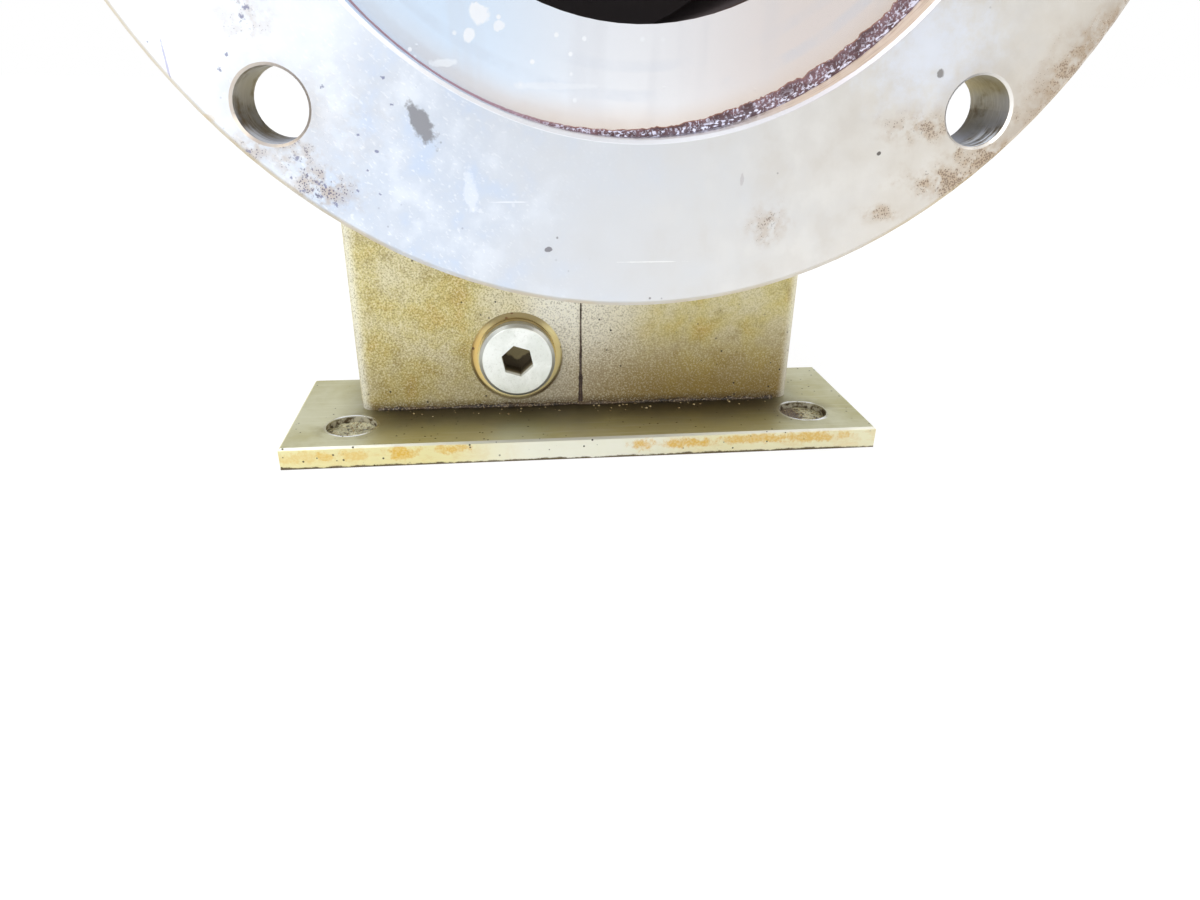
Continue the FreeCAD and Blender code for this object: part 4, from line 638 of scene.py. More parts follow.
        # Painted bluish reflection on the lower wall
        lower_wall_reflection = graph.both(graph.rise(hole_up, 1.0 * MM, -3.0 * MM), graph.rise(smear, 0.30, 0.56), 0.7)
        hole_colour = graph.mix(lower_wall_reflection, hole_colour, tone(176, 186, 210))
        hole_colour = graph.lay(hole_colour, tone(232, 240, 254), glint, 0.85)
        yellow = graph.both(graph.rise(hole_up, 1.5 * MM, 4.0 * MM), graph.rise(graph.x, 0.0, 10 * MM))
        hole_colour = graph.lay(hole_colour, tone(226, 212, 160), yellow, 0.6)
        colour = graph.mix(in_hole, colour, hole_colour)
        lip = graph.both(graph.band(hole, 5.2 * MM, 5.5 * MM, 0.1 * MM), graph.rise(depth, 0.7 * MM, 0.4 * MM))
        lip_colour = graph.mix(graph.rise(graph.x, -10 * MM, 10 * MM), tone(224, 204, 180), tone(246, 244, 240))
        colour = graph.lay(colour, lip_colour, lip, 0.6)
        halo = graph.both(graph.rise(hole, 8.5 * MM, 5.9 * MM), graph.rise(clouds, 0.35, 0.6))
        colour = graph.lay(colour, tone(176, 160, 138), halo, 0.2)

        # Cast back of the adapter, and the bell's inside painted dark: painted shade of the deep bore together with
        # oil, browner towards its lip
        behind = graph.both(graph.rise(depth, 12.4 * MM, 13.2 * MM), graph.rise(reach, 43 * MM, 44.5 * MM))
        cast_colour = graph.mix(graph.rise(clouds, 0.35, 0.7), self.cast, tone(160, 144, 108))
        colour = graph.mix(behind, colour, cast_colour)
        bell = graph.both(graph.rise(depth, 6.6 * MM, 7.2 * MM), graph.rise(depth, 130 * MM, 120 * MM),
                          graph.rise(reach, 42.7 * MM, 42 * MM))
        # Painted shade: the bell's inside is dark because the bore lies in shade, and oily
        bore_shade_and_oil = graph.mix(clouds, self.dark, tone(98, 82, 76))
        bore_shade_and_oil = graph.lay(bore_shade_and_oil, tone(96, 64, 44), graph.rise(depth, 13 * MM, 7 * MM), 0.7)
        colour = graph.mix(bell, colour, bore_shade_and_oil)

        soiled = graph.both(dots, 0.9)
        rough = graph.level(floor, graph.level(clouds, 0.30, 0.44), 0.22)
        rough = graph.level(graph.most(behind, in_hole), rough, 0.55)
        rough = graph.level(soiled, rough, 0.8)
        rough = graph.level(bell, rough, 0.5)
        metal = graph.level(soiled, graph.level(bell, 1.0, 0.15), 0.2)
        metal = graph.level(graph.both(glint, in_hole), metal, 0.1)
        metal = graph.level(graph.both(wall, tanned), metal, 0.25)
        normal = graph.bump(flecks, 0.05, 0.05 * MM)
        normal = graph.bump(graph.most(pits, dots), 0.25, -0.1 * MM, normal)
        normal = graph.bump(graph.both(graph.noise(1400, 3), behind), 0.5, 0.15 * MM, normal)
        normal = graph.bump(graph.both(rings, in_hole), 0.12, 0.08 * MM, normal)
        return graph.finish(base_color=colour, metallic=metal, roughness=rough, normal=normal)


@dataclass(frozen=True)
class StainedCasting:
    """Blasted aluminium casting with an oil stain that runs from grey at the seam to golden olive."""

    grey: Colour = tone(226, 221, 204)
    gold: Colour = tone(200, 186, 118)
    amber: Colour = tone(192, 160, 80)
    brown: Colour = tone(146, 125, 60)
    low: Colour = tone(128, 100, 34)
    pale: Colour = tone(238, 236, 224)
    speck: Colour = tone(48, 38, 28)
    spot_gold: Colour = tone(255, 240, 176)

    def build(self) -> bpy.types.Material:
        """Make the material.

        Returns:
            The material.
        """
        graph = Graph("stained_casting")
        clouds = graph.noise(30, 4, 0.55, 0.3)
        patches = graph.noise(75, 4, 0.55, 0.2, shift=0.4)
        grain = graph.noise(2100, 3, 0.6)
        coarse = graph.noise(620, 3, 0.6, shift=0.8)
        side = graph.math(Op.ABSOLUTE, graph.x)
        end = graph.math(Op.ABSOLUTE, graph.y)

        away = graph.rise(graph.stray(side, clouds, 20 * MM), 12 * MM, 40 * MM)
        gold = graph.both(away, graph.level(graph.rise(patches, 0.32, 0.62), 0.55, 1.0))
        colour = graph.mix(gold, self.grey, self.gold)
        colour = graph.lay(colour, self.amber, graph.rise(patches, 0.52, 0.70), away, 0.7)
        mottle = graph.noise(190, 4, 0.65, 0.4, shift=0.7)
        colour = graph.lay(colour, self.brown, graph.rise(mottle, 0.50, 0.66), away, 0.4)
        pale_side = graph.both(graph.rise(graph.x, 0.0, -2 * MM), graph.rise(side, 18 * MM, 8 * MM))
        colour = graph.lay(colour, self.pale, pale_side, 0.6)
        drop = graph.rise(graph.stray(graph.z, patches, 14 * MM), 46 * MM, 14 * MM)
        low = graph.both(drop, graph.level(graph.rise(graph.x, -30 * MM, 20 * MM), 0.45, 0.92))
        colour = graph.mix(low, colour, self.low)
        # Painted shade along the foot, where the casting meets the bar
        colour = graph.lay(colour, tone(84, 64, 34), graph.rise(graph.z, 9.2 * MM, 6.4 * MM), 0.8)
        corner = graph.both(graph.rise(side, 58.5 * MM, 62.2 * MM), graph.rise(end, 64 * MM, 67.2 * MM))
        colour = graph.lay(colour, self.pale, corner, 0.7)

        # Blasted grain: pale tops and dark hollows
        calm = graph.both(graph.level(graph.rise(graph.z, 20 * MM, 12 * MM), 1.0, 0.85),
                          graph.level(graph.rise(graph.x, 4 * MM, 26 * MM), 1.0, 0.6))
        colour = graph.lay(colour, tone(240, 234, 206), graph.rise(grain, 0.51, 0.62), calm, 0.4)
        colour = graph.lay(colour, tone(114, 98, 52), graph.rise(grain, 0.49, 0.38), calm, 0.5)
        sparse = graph.rise(graph.noise(60, 2, shift=0.6), 0.46, 0.56)
        specks = graph.both(graph.rise(graph.cells(330, 0.2), 0.125, 0.08), sparse)
        colour = graph.lay(colour, self.speck, specks, 0.9)

        # Seam: dark, ragged and wider towards the foot
        wobble = graph.sway(1.1 * MM, 260, 4, 0.7)
        width = graph.level(graph.rise(graph.z, 34 * MM, 6 * MM), 0.12 * MM, 0.52 * MM)
        seam = graph.math(Op.SUBTRACT, graph.math(Op.ADD, side, wobble), width)
        colour = graph.mix(graph.rise(seam, 0.12 * MM, -0.05 * MM), colour, tone(74, 58, 50))

        # Spot face of the drain plug: machined, golden, with a painted shadow under its top, and grime with a painted
        # shadow line along its wall, strongest below
        ring = graph.distance(graph.math(Op.SUBTRACT, graph.x, DRAIN[0]), graph.math(Op.SUBTRACT, graph.z, DRAIN[1]))
        front = graph.rise(graph.y, -60 * MM, -66 * MM)
        spot = graph.both(graph.rise(ring, 12.85 * MM, 12.6 * MM), front)
        spot_colour = graph.mix(graph.rise(patches, 0.35, 0.6), self.spot_gold, tone(240, 222, 160))
        # Painted shadow under the top of the spot face
        above = graph.math(Op.SUBTRACT, graph.z, DRAIN[1])
        shaded = graph.rise(graph.stray(above, clouds, 3 * MM), 8 * MM, 12 * MM)
        spot_colour = graph.lay(spot_colour, tone(130, 108, 60), shaded, 0.75)
        strewn = graph.stray(graph.x, patches, 8 * MM)
        leftward = graph.rise(strewn, DRAIN[0] - 3 * MM, DRAIN[0] - 8 * MM)
        spot_colour = graph.lay(spot_colour, tone(238, 196, 96), leftward, 0.6)
        flecked = graph.rise(graph.cells(300, 0.9), 0.19, 0.13)
        spot_colour = graph.lay(spot_colour, tone(110, 62, 26), flecked, 0.8)
        colour = graph.mix(spot, colour, spot_colour)
        # Grime and a painted shadow line along the wall, strongest below
        below = graph.rise(graph.stray(clouds, graph.z, -14.0), -0.02, 0.35)
        grime_and_shadow_line = graph.both(graph.band(ring, 12.45 * MM, 12.9 * MM, 0.25 * MM), front, below)
        colour = graph.lay(colour, tone(82, 60, 28), grime_and_shadow_line, 0.8)

        # Turned bosses and bores on the sides are brighter than the casting
        bore = graph.distance(graph.y, graph.math(Op.SUBTRACT, graph.z, OUTPUT_HEIGHT))
        turned = graph.both(graph.rise(side, 65.1 * MM, 65.4 * MM), graph.rise(bore, 44 * MM, 43 * MM))
        colour = graph.lay(colour, tone(226, 223, 214), turned, 0.8)

        smooth = graph.most(spot, turned)
        rough = graph.level(smooth, graph.level(clouds, 0.50, 0.64), 0.36)
        metal = graph.level(turned, graph.level(graph.rise(grain, 0.4, 0.7), 0.10, 0.40), 0.8)
        metal = graph.level(spot, metal, 0.0)
        height = graph.math(Op.ADD, graph.both(grain, 0.7), graph.both(coarse, 0.5))
        normal = graph.bump(graph.both(height, graph.rise(smooth, 1.0, 0.0)), 0.5, 0.16 * MM)
        normal = graph.bump(specks, 0.4, -0.2 * MM, normal)
        return graph.finish(base_color=colour, metallic=metal, roughness=rough, normal=normal)


@dataclass(frozen=True)
class PlatedBar:
    """Satin plated steel bar: olive grey on top, pale and stained along its edges, burnished at its holes, with
    painted highlights at the front and back of each hole's ring.
    """

    top: Colour = tone(214, 210, 176)
    olive: Colour = tone(196, 189, 142)
    pale: Colour = tone(246, 246, 234)
    stain: Colour = tone(212, 164, 22)
    dark: Colour = tone(60, 50, 38)
    stains: tuple[Crowd, ...] = (
        Crowd(-74.0, 3.2, 5.5, 1.5, 0.0, 0.45),
        Crowd(-68.8, 3.3, 2.0, 1.2, 0.0, 0.75),
        Crowd(-61.5, 3.4, 4.0, 1.5, 0.0, 0.6),
        Crowd(-49.0, 3.6, 3.4, 1.8, 0.0, 0.95),
        Crowd(-36.0, 4.3, 4.4, 1.2, 0.0, 0.85),
        Crowd(14.5, 3.4, 3.2, 1.4, 0.0, 0.95),
        Crowd(26.5, 3.4, 6.5, 1.3, 0.0, 0.95),
        Crowd(46.0, 4.0, 10.0, 1.2, 0.0, 0.9),
        Crowd(61.0, 3.9, 8.0, 1.5, 0.0, 0.85),
        Crowd(71.0, 4.2, 2.6, 1.2, 0.0, 0.7),
    )

    def build(self) -> bpy.types.Material:
        """Make the material.

        Returns:
            The material.
        """
        graph = Graph("plated_bar")
        clouds = graph.noise(48, 5, 0.6, 0.3)
        streaks = graph.noise(900, 3, 0.5, stretch=(0.05, 1.0, 1.0))
        fine = graph.noise(1800, 2, 0.5, shift=0.2)
        end = graph.math(Op.ABSOLUTE, graph.y)
        side = graph.math(Op.ABSOLUTE, graph.x)

        colour = graph.mix(graph.rise(clouds, 0.32, 0.66), self.top, self.olive)
        colour = graph.lay(colour, tone(232, 229, 206), graph.rise(streaks, 0.5, 0.75), 0.3)
        near = graph.rise(graph.stray(end, clouds, 12 * MM), 100 * MM, 76 * MM)
        colour = graph.lay(colour, tone(66, 55, 36), near, 0.92, graph.rise(side, 72 * MM, 50 * MM))

        # Front and end faces: pale, with orange stains that run along them
        face = graph.most(graph.rise(end, 91.3 * MM, 91.7 * MM), graph.rise(side, 79.3 * MM, 79.7 * MM))
        patches = graph.noise(105, 5, 0.7, 0.5, stretch=(1.0, 1.0, 1.8), shift=0.55)
        thirds = graph.level(graph.rise(side, 12 * MM, 42 * MM), 0.08, 1.0)
        wander = graph.sway(3.4, 420, 4, 0.7, 0.35)
        rust = graph.most(graph.both(graph.rise(patches, 0.50, 0.60), thirds, 0.25),
                          *(graph.both(graph.patch(mark, wander, 1.5, 0.5), mark.thick) for mark in self.stains))
        rust = graph.both(rust, graph.level(graph.rise(fine, 0.40, 0.60), 0.7, 1.0))
        face_colour = graph.mix(graph.rise(clouds, 0.4, 0.7), self.pale, tone(240, 240, 222))
        face_colour = graph.lay(face_colour, tone(234, 222, 152), thirds,
                                graph.level(graph.rise(graph.x, 20 * MM, 50 * MM), 0.75, 0.45))
        face_colour = graph.lay(face_colour, self.stain, rust, 0.92)
        ragged = graph.stray(graph.z, graph.noise(300, 4, 0.7, shift=0.8), -1.6 * MM)
        face_colour = graph.mix(graph.rise(ragged, -0.1 * MM, -0.5 * MM), face_colour, tone(110, 98, 76))
        colour = graph.mix(face, colour, face_colour)
        bright = graph.both(graph.rise(graph.z, 5.3 * MM, 5.6 * MM), graph.rise(end, 91.2 * MM, 91.5 * MM))
        colour = graph.lay(colour, tone(214, 213, 204), bright, 0.8)

        # Holes: burnished ring on top with painted highlights at its front and back and grey at its sides, gritty
        # dark wall
        hole = graph.distance(graph.math(Op.SUBTRACT, side, FOOT_HOLE[0]), graph.math(Op.SUBTRACT, end, FOOT_HOLE[1]))
        wobble = graph.sway(1.6 * MM, 200, 3)
        ring = graph.math(Op.ADD, hole, wobble)
        burnish_and_highlight = graph.both(graph.rise(ring, 7.6 * MM, 7.0 * MM), graph.rise(graph.z, 5.5 * MM, 5.9 * MM))
        # Painted highlights: the ring is white at its front and back and grey at its sides
        highlight_crescents = graph.math(Op.DIVIDE, graph.math(Op.ABSOLUTE, graph.math(Op.SUBTRACT, end, FOOT_HOLE[1])), hole)
        highlight_crescents = graph.rise(graph.stray(highlight_crescents, clouds, 0.3), 0.70, 1.0)
        lip_colour = graph.mix(highlight_crescents, tone(166, 158, 134), tone(252, 252, 250))
        colour = graph.lay(colour, lip_colour, burnish_and_highlight, graph.level(highlight_crescents, 0.55, 0.95))
        shade = graph.both(graph.rise(ring, 12 * MM, 7.4 * MM), graph.rise(ring, 6.9 * MM, 7.4 * MM),
                           graph.rise(clouds, 0.38, 0.62))
        colour = graph.lay(colour, tone(124, 112, 84), shade, 0.45)
        wall = graph.both(graph.rise(hole, 6.95 * MM, 6.8 * MM), graph.rise(graph.z, 5.85 * MM, 5.5 * MM))
        gritty = graph.mix(graph.rise(graph.noise(700, 3), 0.36, 0.60), tone(104, 90, 68), tone(206, 200, 180))
        colour = graph.mix(wall, colour, gritty)

        specks = graph.both(graph.rise(graph.cells(420, 0.7), 0.14, 0.09), graph.rise(graph.noise(70, 2), 0.45, 0.54))
        colour = graph.lay(colour, self.dark, specks, 0.9)
        rough = graph.level(clouds, 0.34, 0.5)
        rough = graph.level(burnish_and_highlight, rough, 0.24)
        rough = graph.level(graph.most(rust, wall), rough, 0.6)
        metal = graph.level(graph.both(face, rust), 0.9, 0.1)
        normal = graph.bump(graph.math(Op.ADD, graph.both(streaks, 0.5), graph.both(fine, 0.4)), 0.22, 0.05 * MM)
        normal = graph.bump(specks, 0.3, 0.15 * MM, normal)
        return graph.finish(base_color=colour, metallic=metal, roughness=rough, normal=normal)


@dataclass(frozen=True)
class WornMetal:
    """Plain metal with clouds of two tones, fine grain and a few dark specks."""

    name: str
    light: Colour
    dark: Colour
    metallic: float
    gloss: tuple[float, float]
    grain: float = 900.0
    relief: float = 0.2
    specks: float = 0.4

    def build(self) -> bpy.types.Material:
        """Make the material.

        Returns:
            The material.
        """
        graph = Graph(self.name)
        clouds = graph.noise(90, 5, 0.6, 0.3)
        fine = graph.noise(self.grain, 3, 0.55, shift=0.3)
        colour = graph.mix(graph.rise(clouds, 0.34, 0.68), self.light, self.dark)
        colour = graph.lay(colour, self.light, graph.rise(fine, 0.48, 0.72), 0.25)
        dots = graph.both(graph.rise(graph.cells(420, 0.5), 0.10, 0.05), graph.rise(graph.noise(110, 2), 0.5, 0.6))
        colour = graph.lay(colour, tone(46, 40, 36), dots, self.specks)
        rough = graph.level(clouds, *self.gloss)
        normal = graph.bump(fine, self.relief, 0.06 * MM)
        return graph.finish(base_color=colour, metallic=self.metallic, roughness=rough, normal=normal)


@dataclass(frozen=True)
class CakedGrime:
    """Dried oil and grit: dark, lumpy, with glossy crumbs."""

    name: str
    dark: Colour
    light: Colour
    crumbs: Colour
    share: float = 0.35
    grain: float = 2300.0
    crust: Colour | None = None

    def build(self) -> bpy.types.Material:
        """Make the material.

        Returns:
            The material.
        """
        graph = Graph(self.name)
        lumps = graph.noise(1100, 4, 0.65)
        clouds = graph.noise(240, 4, 0.6, shift=0.2)
        colour = graph.mix(graph.rise(clouds, 0.36, 0.66), self.dark, self.light)
        glints = graph.rise(graph.noise(self.grain, 2, 0.5, shift=0.6), 0.54, 0.62)
        colour = graph.lay(colour, self.crumbs, glints, self.share)
        if self.crust is not None:
            drift = graph.stray(graph.x, clouds, 6 * MM)
            caked = graph.both(graph.rise(drift, FOOT_HOLE[0] + 3.6 * MM, FOOT_HOLE[0] + 1.6 * MM),
                               graph.rise(graph.x, 0.0, 1 * MM))
            colour = graph.lay(colour, self.crust, caked, 0.85)
        rough = graph.level(graph.rise(lumps, 0.35, 0.65), 0.55, 0.22)
        normal = graph.bump(lumps, 0.9, 0.3 * MM)
        return graph.finish(base_color=colour, roughness=rough, normal=normal)


@dataclass(frozen=True)
class DriedOil:
    """Dried oil in the recess: a faint thread on the left, brown on the floor and glinting at the wall elsewhere."""

    thread: Colour = tone(158, 126, 136)
    dark: Colour = tone(70, 40, 42)
    light: Colour = tone(112, 80, 86)
    edge: Colour = tone(142, 94, 72)
    glint: Colour = tone(224, 224, 242)

    def build(self) -> bpy.types.Material:
        """Make the material.

        Returns:
            The material.
        """
        graph = Graph("dried_oil")
        lumps = graph.noise(1100, 4, 0.65)
        clouds = graph.noise(420, 4, 0.6, shift=0.2)
        low_sparks = graph.noise(2800, 2, 0.5, stretch=(0.55, 1.0, 1.0), shift=0.6)
        side_sparks = graph.noise(2800, 2, 0.5, stretch=(0.42, 1.0, 1.0), shift=0.6, turn=-0.62)
        sparks = graph.level(graph.rise(graph.x, 12 * MM, 24 * MM), low_sparks, side_sparks)
        height = graph.math(Op.SUBTRACT, PILOT_FLOOR, graph.y)
        colour = graph.mix(graph.rise(clouds, 0.36, 0.64), self.dark, self.light)
        reach = graph.distance(graph.x, graph.math(Op.SUBTRACT, graph.z, WORM_HEIGHT))
        fine_sparks = graph.noise(3000, 2, 0.5, stretch=(1.0, 1.0, 0.55), shift=0.4)
        inner = graph.both(graph.rise(fine_sparks, 0.54, 0.64), graph.rise(clouds, 0.34, 0.52), 0.6)
        outer = graph.both(graph.rise(sparks, 0.51, 0.62), graph.rise(reach, 56 * MM, 56.5 * MM), 0.85)
        colour = graph.mix(graph.most(inner, outer), colour, self.glint)
        rightward = graph.rise(graph.x, 10 * MM, 26 * MM)
        border = graph.both(graph.rise(reach, 56.92 * MM, 57.04 * MM), rightward)
        colour = graph.lay(colour, tone(84, 50, 60), border, 0.8)
        speckle = graph.mix(graph.rise(sparks, 0.50, 0.61), tone(92, 76, 84), self.glint)
        share = graph.both(graph.rise(height, 0.26 * MM, 0.55 * MM), graph.level(rightward, 1.0, 0.2))
        colour = graph.mix(share, colour, speckle)
        colour = graph.lay(colour, self.edge, graph.rise(height, 0.16 * MM, 0.06 * MM), 0.8)
        colour = graph.mix(graph.rise(graph.x, -4 * MM, -26 * MM), colour, self.thread)
        rough = graph.level(graph.rise(lumps, 0.35, 0.65), 0.55, 0.28)
        normal = graph.bump(lumps, 0.5, 0.25 * MM)
        return graph.finish(base_color=colour, roughness=rough, normal=normal)


@dataclass(frozen=True)
class PlatedPlug:
    """Zinc-plated oil plug: bright face, grey broken edge, and a socket that is darker with depth, with dirt in its
    upper part and darker below its centre.
    """

    name: str
    across: float
    up: float
    face: float
    light: Colour = tone(250, 252, 247)
    dull: Colour = tone(234, 237, 230)
    edge: Colour = tone(150, 148, 140)
    dirt: Colour = tone(160, 146, 108)

    def build(self) -> bpy.types.Material:
        """Make the material.

        Returns:
            The material.
        """
        graph = Graph(self.name)
        clouds = graph.noise(150, 4, 0.6, 0.3)
        fine = graph.noise(1600, 3, 0.55, shift=0.3)
        aside = graph.math(Op.SUBTRACT, graph.x, self.across)
        reach = graph.distance(aside, graph.math(Op.SUBTRACT, graph.z, self.up))
        depth = graph.math(Op.SUBTRACT, self.face, graph.math(Op.ABSOLUTE, graph.y))
        colour = graph.mix(graph.rise(clouds, 0.36, 0.66), self.light, self.dull)
        colour = graph.lay(colour, tone(204, 204, 194), graph.rise(fine, 0.55, 0.7), 0.3)
        broken = graph.both(graph.rise(reach, 9.4 * MM, 9.6 * MM), graph.rise(depth, 0.05 * MM, 0.25 * MM))
        colour = graph.lay(colour, self.edge, broken, 0.7)
        socket = graph.both(graph.rise(reach, 5.2 * MM, 4.9 * MM), graph.rise(depth, 0.1 * MM, 0.6 * MM))
        # Socket: pale near its mouth and darker with depth; dirt in its upper part, darker below its centre
        deep = graph.rise(graph.stray(depth, clouds, 3 * MM), 3 * MM, 7 * MM)
        beside = graph.math(Op.MULTIPLY, graph.math(Op.ABSOLUTE, aside), -0.6)
        above = graph.math(Op.ADD, graph.math(Op.SUBTRACT, graph.z, self.up), beside)
        above = graph.stray(above, graph.noise(500, 3), 1.6 * MM)
        caked = graph.mix(graph.rise(above, -1.5 * MM, -0.6 * MM), tone(88, 76, 54), self.dirt)
        wall_colour = graph.mix(graph.rise(depth, 1.2 * MM, 2.6 * MM), tone(236, 234, 222), tone(150, 138, 108))
        colour = graph.mix(socket, colour, graph.mix(deep, wall_colour, caked))
        rough = graph.level(socket, graph.level(clouds, 0.28, 0.42), 0.75)
        metal = graph.level(socket, 0.6, 0.1)
        normal = graph.bump(fine, 0.12, 0.06 * MM)
        normal = graph.bump(graph.both(graph.noise(900, 3), socket), 0.6, 0.25 * MM, normal)
        return graph.finish(base_color=colour, metallic=metal, roughness=rough, normal=normal)


@dataclass(frozen=True)
class SealingWasher:
    """Sealing washers under the plugs: pale gold, with the drain's shaded under the top of its spot face."""

    light: Colour = tone(240, 228, 176)
    gold: Colour = tone(222, 196, 124)
    shade: Colour = tone(132, 108, 60)

    def build(self) -> bpy.types.Material:
        """Make the material.

        Returns:
            The material.
        """
        graph = Graph("sealing_washer")
        clouds = graph.noise(150, 4, 0.6, 0.3)
        fine = graph.noise(1200, 3, 0.55, shift=0.3)
        colour = graph.mix(graph.rise(clouds, 0.36, 0.64), self.light, self.gold)
        above = graph.math(Op.SUBTRACT, graph.z, DRAIN[1])
        top = graph.band(graph.stray(above, clouds, 3 * MM), 9 * MM, 16 * MM, 4 * MM)
        colour = graph.lay(colour, self.shade, top, 0.8)
        dots = graph.both(graph.rise(graph.cells(520, 0.5), 0.16, 0.09), graph.rise(fine, 0.40, 0.56))
        colour = graph.lay(colour, tone(84, 64, 36), dots, 0.8)
        rough = graph.level(clouds, 0.4, 0.55)
        return graph.finish(base_color=colour, metallic=0.3, roughness=rough, normal=graph.bump(fine, 0.2, 0.06 * MM))


@dataclass(frozen=True)
class Moulded:
    """Moulded rubber: nearly black, with a dusty bloom."""

    base: Colour = tone(26, 25, 25)
    bloom: Colour = tone(74, 70, 64)

    def build(self) -> bpy.types.Material:
        """Make the material.

        Returns:
            The material.
        """
        graph = Graph("moulded_rubber")
        dust = graph.rise(graph.noise(160, 4, 0.6), 0.48, 0.78)
        colour = graph.lay(self.base, self.bloom, dust, 0.6)
        rough = graph.level(dust, 0.48, 0.75)
        normal = graph.bump(graph.noise(1500, 3), 0.25, 0.05 * MM)
        return graph.finish(base_color=colour, roughness=rough, normal=normal)


@dataclass(frozen=True)
class PaleFloor:
    """White table top that the camera sees as almost blown out."""

    base: Colour = (0.93, 0.93, 0.93)
    share: float = 0.75
    glow: float = 1.1

    def build(self) -> bpy.types.Material:
        """Make the material.

        Returns:
            The material.
        """
        graph = Graph("pale_floor")
        nodes = graph.tree.nodes
        light = nodes.new("ShaderNodeEmission")
        light.inputs["Color"].default_value = (1.0, 1.0, 1.0, 1.0)
        light.inputs["Strength"].default_value = self.glow
        seen = graph.math(Op.MULTIPLY, nodes.new("ShaderNodeLightPath").outputs["Is Camera Ray"], self.share)
        blend = nodes.new("ShaderNodeMixShader")
        graph.feed(blend.inputs[0], seen)
        graph.tree.links.new(graph.shader.outputs[0], blend.inputs[1])
        graph.tree.links.new(light.outputs[0], blend.inputs[2])
        graph.tree.links.new(blend.outputs[0], graph.output.inputs["Surface"])
        return graph.finish(base_color=self.base, roughness=0.7)


class Growth:
    """Geometry Nodes tree with named inputs, which ends in realised geometry with one material."""

    def __init__(self, name: str, material: bpy.types.Material) -> None:
        """Start a tree.

        Args:
            name: The tree's name.
            material: What the grown mesh is made of.
        """
        self.tree = bpy.data.node_groups.new(name, "GeometryNodeTree")
        self.material = material
        self.tree.interface.new_socket("Geometry", in_out="INPUT", socket_type="NodeSocketGeometry")
        self.tree.interface.new_socket("Geometry", in_out="OUTPUT", socket_type="NodeSocketGeometry")
        self.start = self.tree.nodes.new("NodeGroupInput")
        self.stop = self.tree.nodes.new("NodeGroupOutput")

    def setting(self, name: str, value: float) -> Socket:
        """Add a named number to the tree's inputs.

        Args:
            name: The input's name.
            value: Its default.

        Returns:
            The socket that carries it inside the tree.
        """
        socket = self.tree.interface.new_socket(name, in_out="INPUT", socket_type="NodeSocketFloat")
        socket.default_value = value
        return self.start.outputs[name]

    def node(self, kind: str, **inputs: object) -> bpy.types.Node:
        """Add a node.

        Args:
            kind: The node's type.
            **inputs: Values or sockets by the input's name, with _ for spaces; a leading "set_" sets a property.

        Returns:
            The node.
        """
        node = self.tree.nodes.new(kind)
        for key, value in inputs.items():
            if key.startswith("set_"):
                setattr(node, key.removeprefix("set_"), value)
        for key, value in inputs.items():
            if key.startswith("set_"):
                continue
            self.feed(next(s for s in node.inputs if s.enabled and s.name.replace(" ", "_") == key), value)
        return node

    def feed(self, socket: Socket, value: object) -> None:
        """Link a socket's value, or set it.

        Args:
            socket: The input to feed.
            value: A socket, or what the input is set to.
        """
        if isinstance(value, Socket):
            self.tree.links.new(value, socket)
        else:
            socket.default_value = value

    def product(self, first: Value, second: Value) -> Socket:
        """Multiply two values.

        Args:
            first: First value.
            second: Second value.

        Returns:
            Their product.
        """
        node = self.node("ShaderNodeMath", set_operation=Op.MULTIPLY.value)
        self.feed(node.inputs[0], first)
        self.feed(node.inputs[1], second)
        return node.outputs[0]

    def close(self, geometry: Socket) -> None:
        """End the tree.

        Args:
            geometry: What it grows.
        """
        smooth = self.node("GeometryNodeSetShadeSmooth", Geometry=geometry)
        real = self.node("GeometryNodeRealizeInstances", Geometry=smooth.outputs[0])
        coat = self.node("GeometryNodeSetMaterial", Geometry=real.outputs[0], Material=self.material)
        self.tree.links.new(coat.outputs[0], self.stop.inputs[0])

    def grow(self, name: str, seed_mesh: bpy.types.Mesh, **settings: float) -> bpy.types.Object:
        """Run the tree on a mesh and keep the result as plain geometry.

        Args:
            name: The new piece's name.
            seed_mesh: Path or surface that the growth follows.
            **settings: Values of the tree's inputs by name.

        Returns:
            The piece.
        """
        piece = bpy.data.objects.new(name, seed_mesh)
        bpy.context.scene.collection.objects.link(piece)
        modifier = piece.modifiers.new("growth", "NODES")
        modifier.node_group = self.tree
        for item in self.tree.interface.items_tree:
            if item.in_out == "INPUT" and item.name in settings:
                modifier[item.identifier] = settings[item.name]
        bpy.context.view_layer.update()
        shown = piece.evaluated_get(bpy.context.evaluated_depsgraph_get())
        grown = bpy.data.meshes.new_from_object(shown)
        piece.modifiers.remove(modifier)
        piece.data = grown
        return piece


def path_mesh(name: str, points: list[Vector]) -> bpy.types.Mesh:
    """Mesh of points joined by edges, for a growth to follow.

    Args:
        name: The mesh's name.
        points: Places along the path, in metres.

    Returns:
        The mesh.
    """
    edges = [(step, step + 1) for step in range(len(points) - 1)]
    mesh = bpy.data.meshes.new(name)
    mesh.from_pydata(points, edges, [])
    return mesh


def solid_piece(name: str, points: list[Vector], faces: list[tuple[int, ...]],
                material: bpy.types.Material) -> bpy.types.Object:
    """Smooth piece of given points and faces.

    Args:
        name: The piece's name.
        points: Corners, in metres.
        faces: Corners of each face.
        material: What it is made of.

    Returns:
        The piece.
    """
    mesh = bpy.data.meshes.new(name)
    mesh.from_pydata(points, [], faces)
    mesh.materials.append(material)
    for face in mesh.polygons:
        face.use_smooth = True
    piece = bpy.data.objects.new(name, mesh)
    bpy.context.scene.collection.objects.link(piece)
    return piece


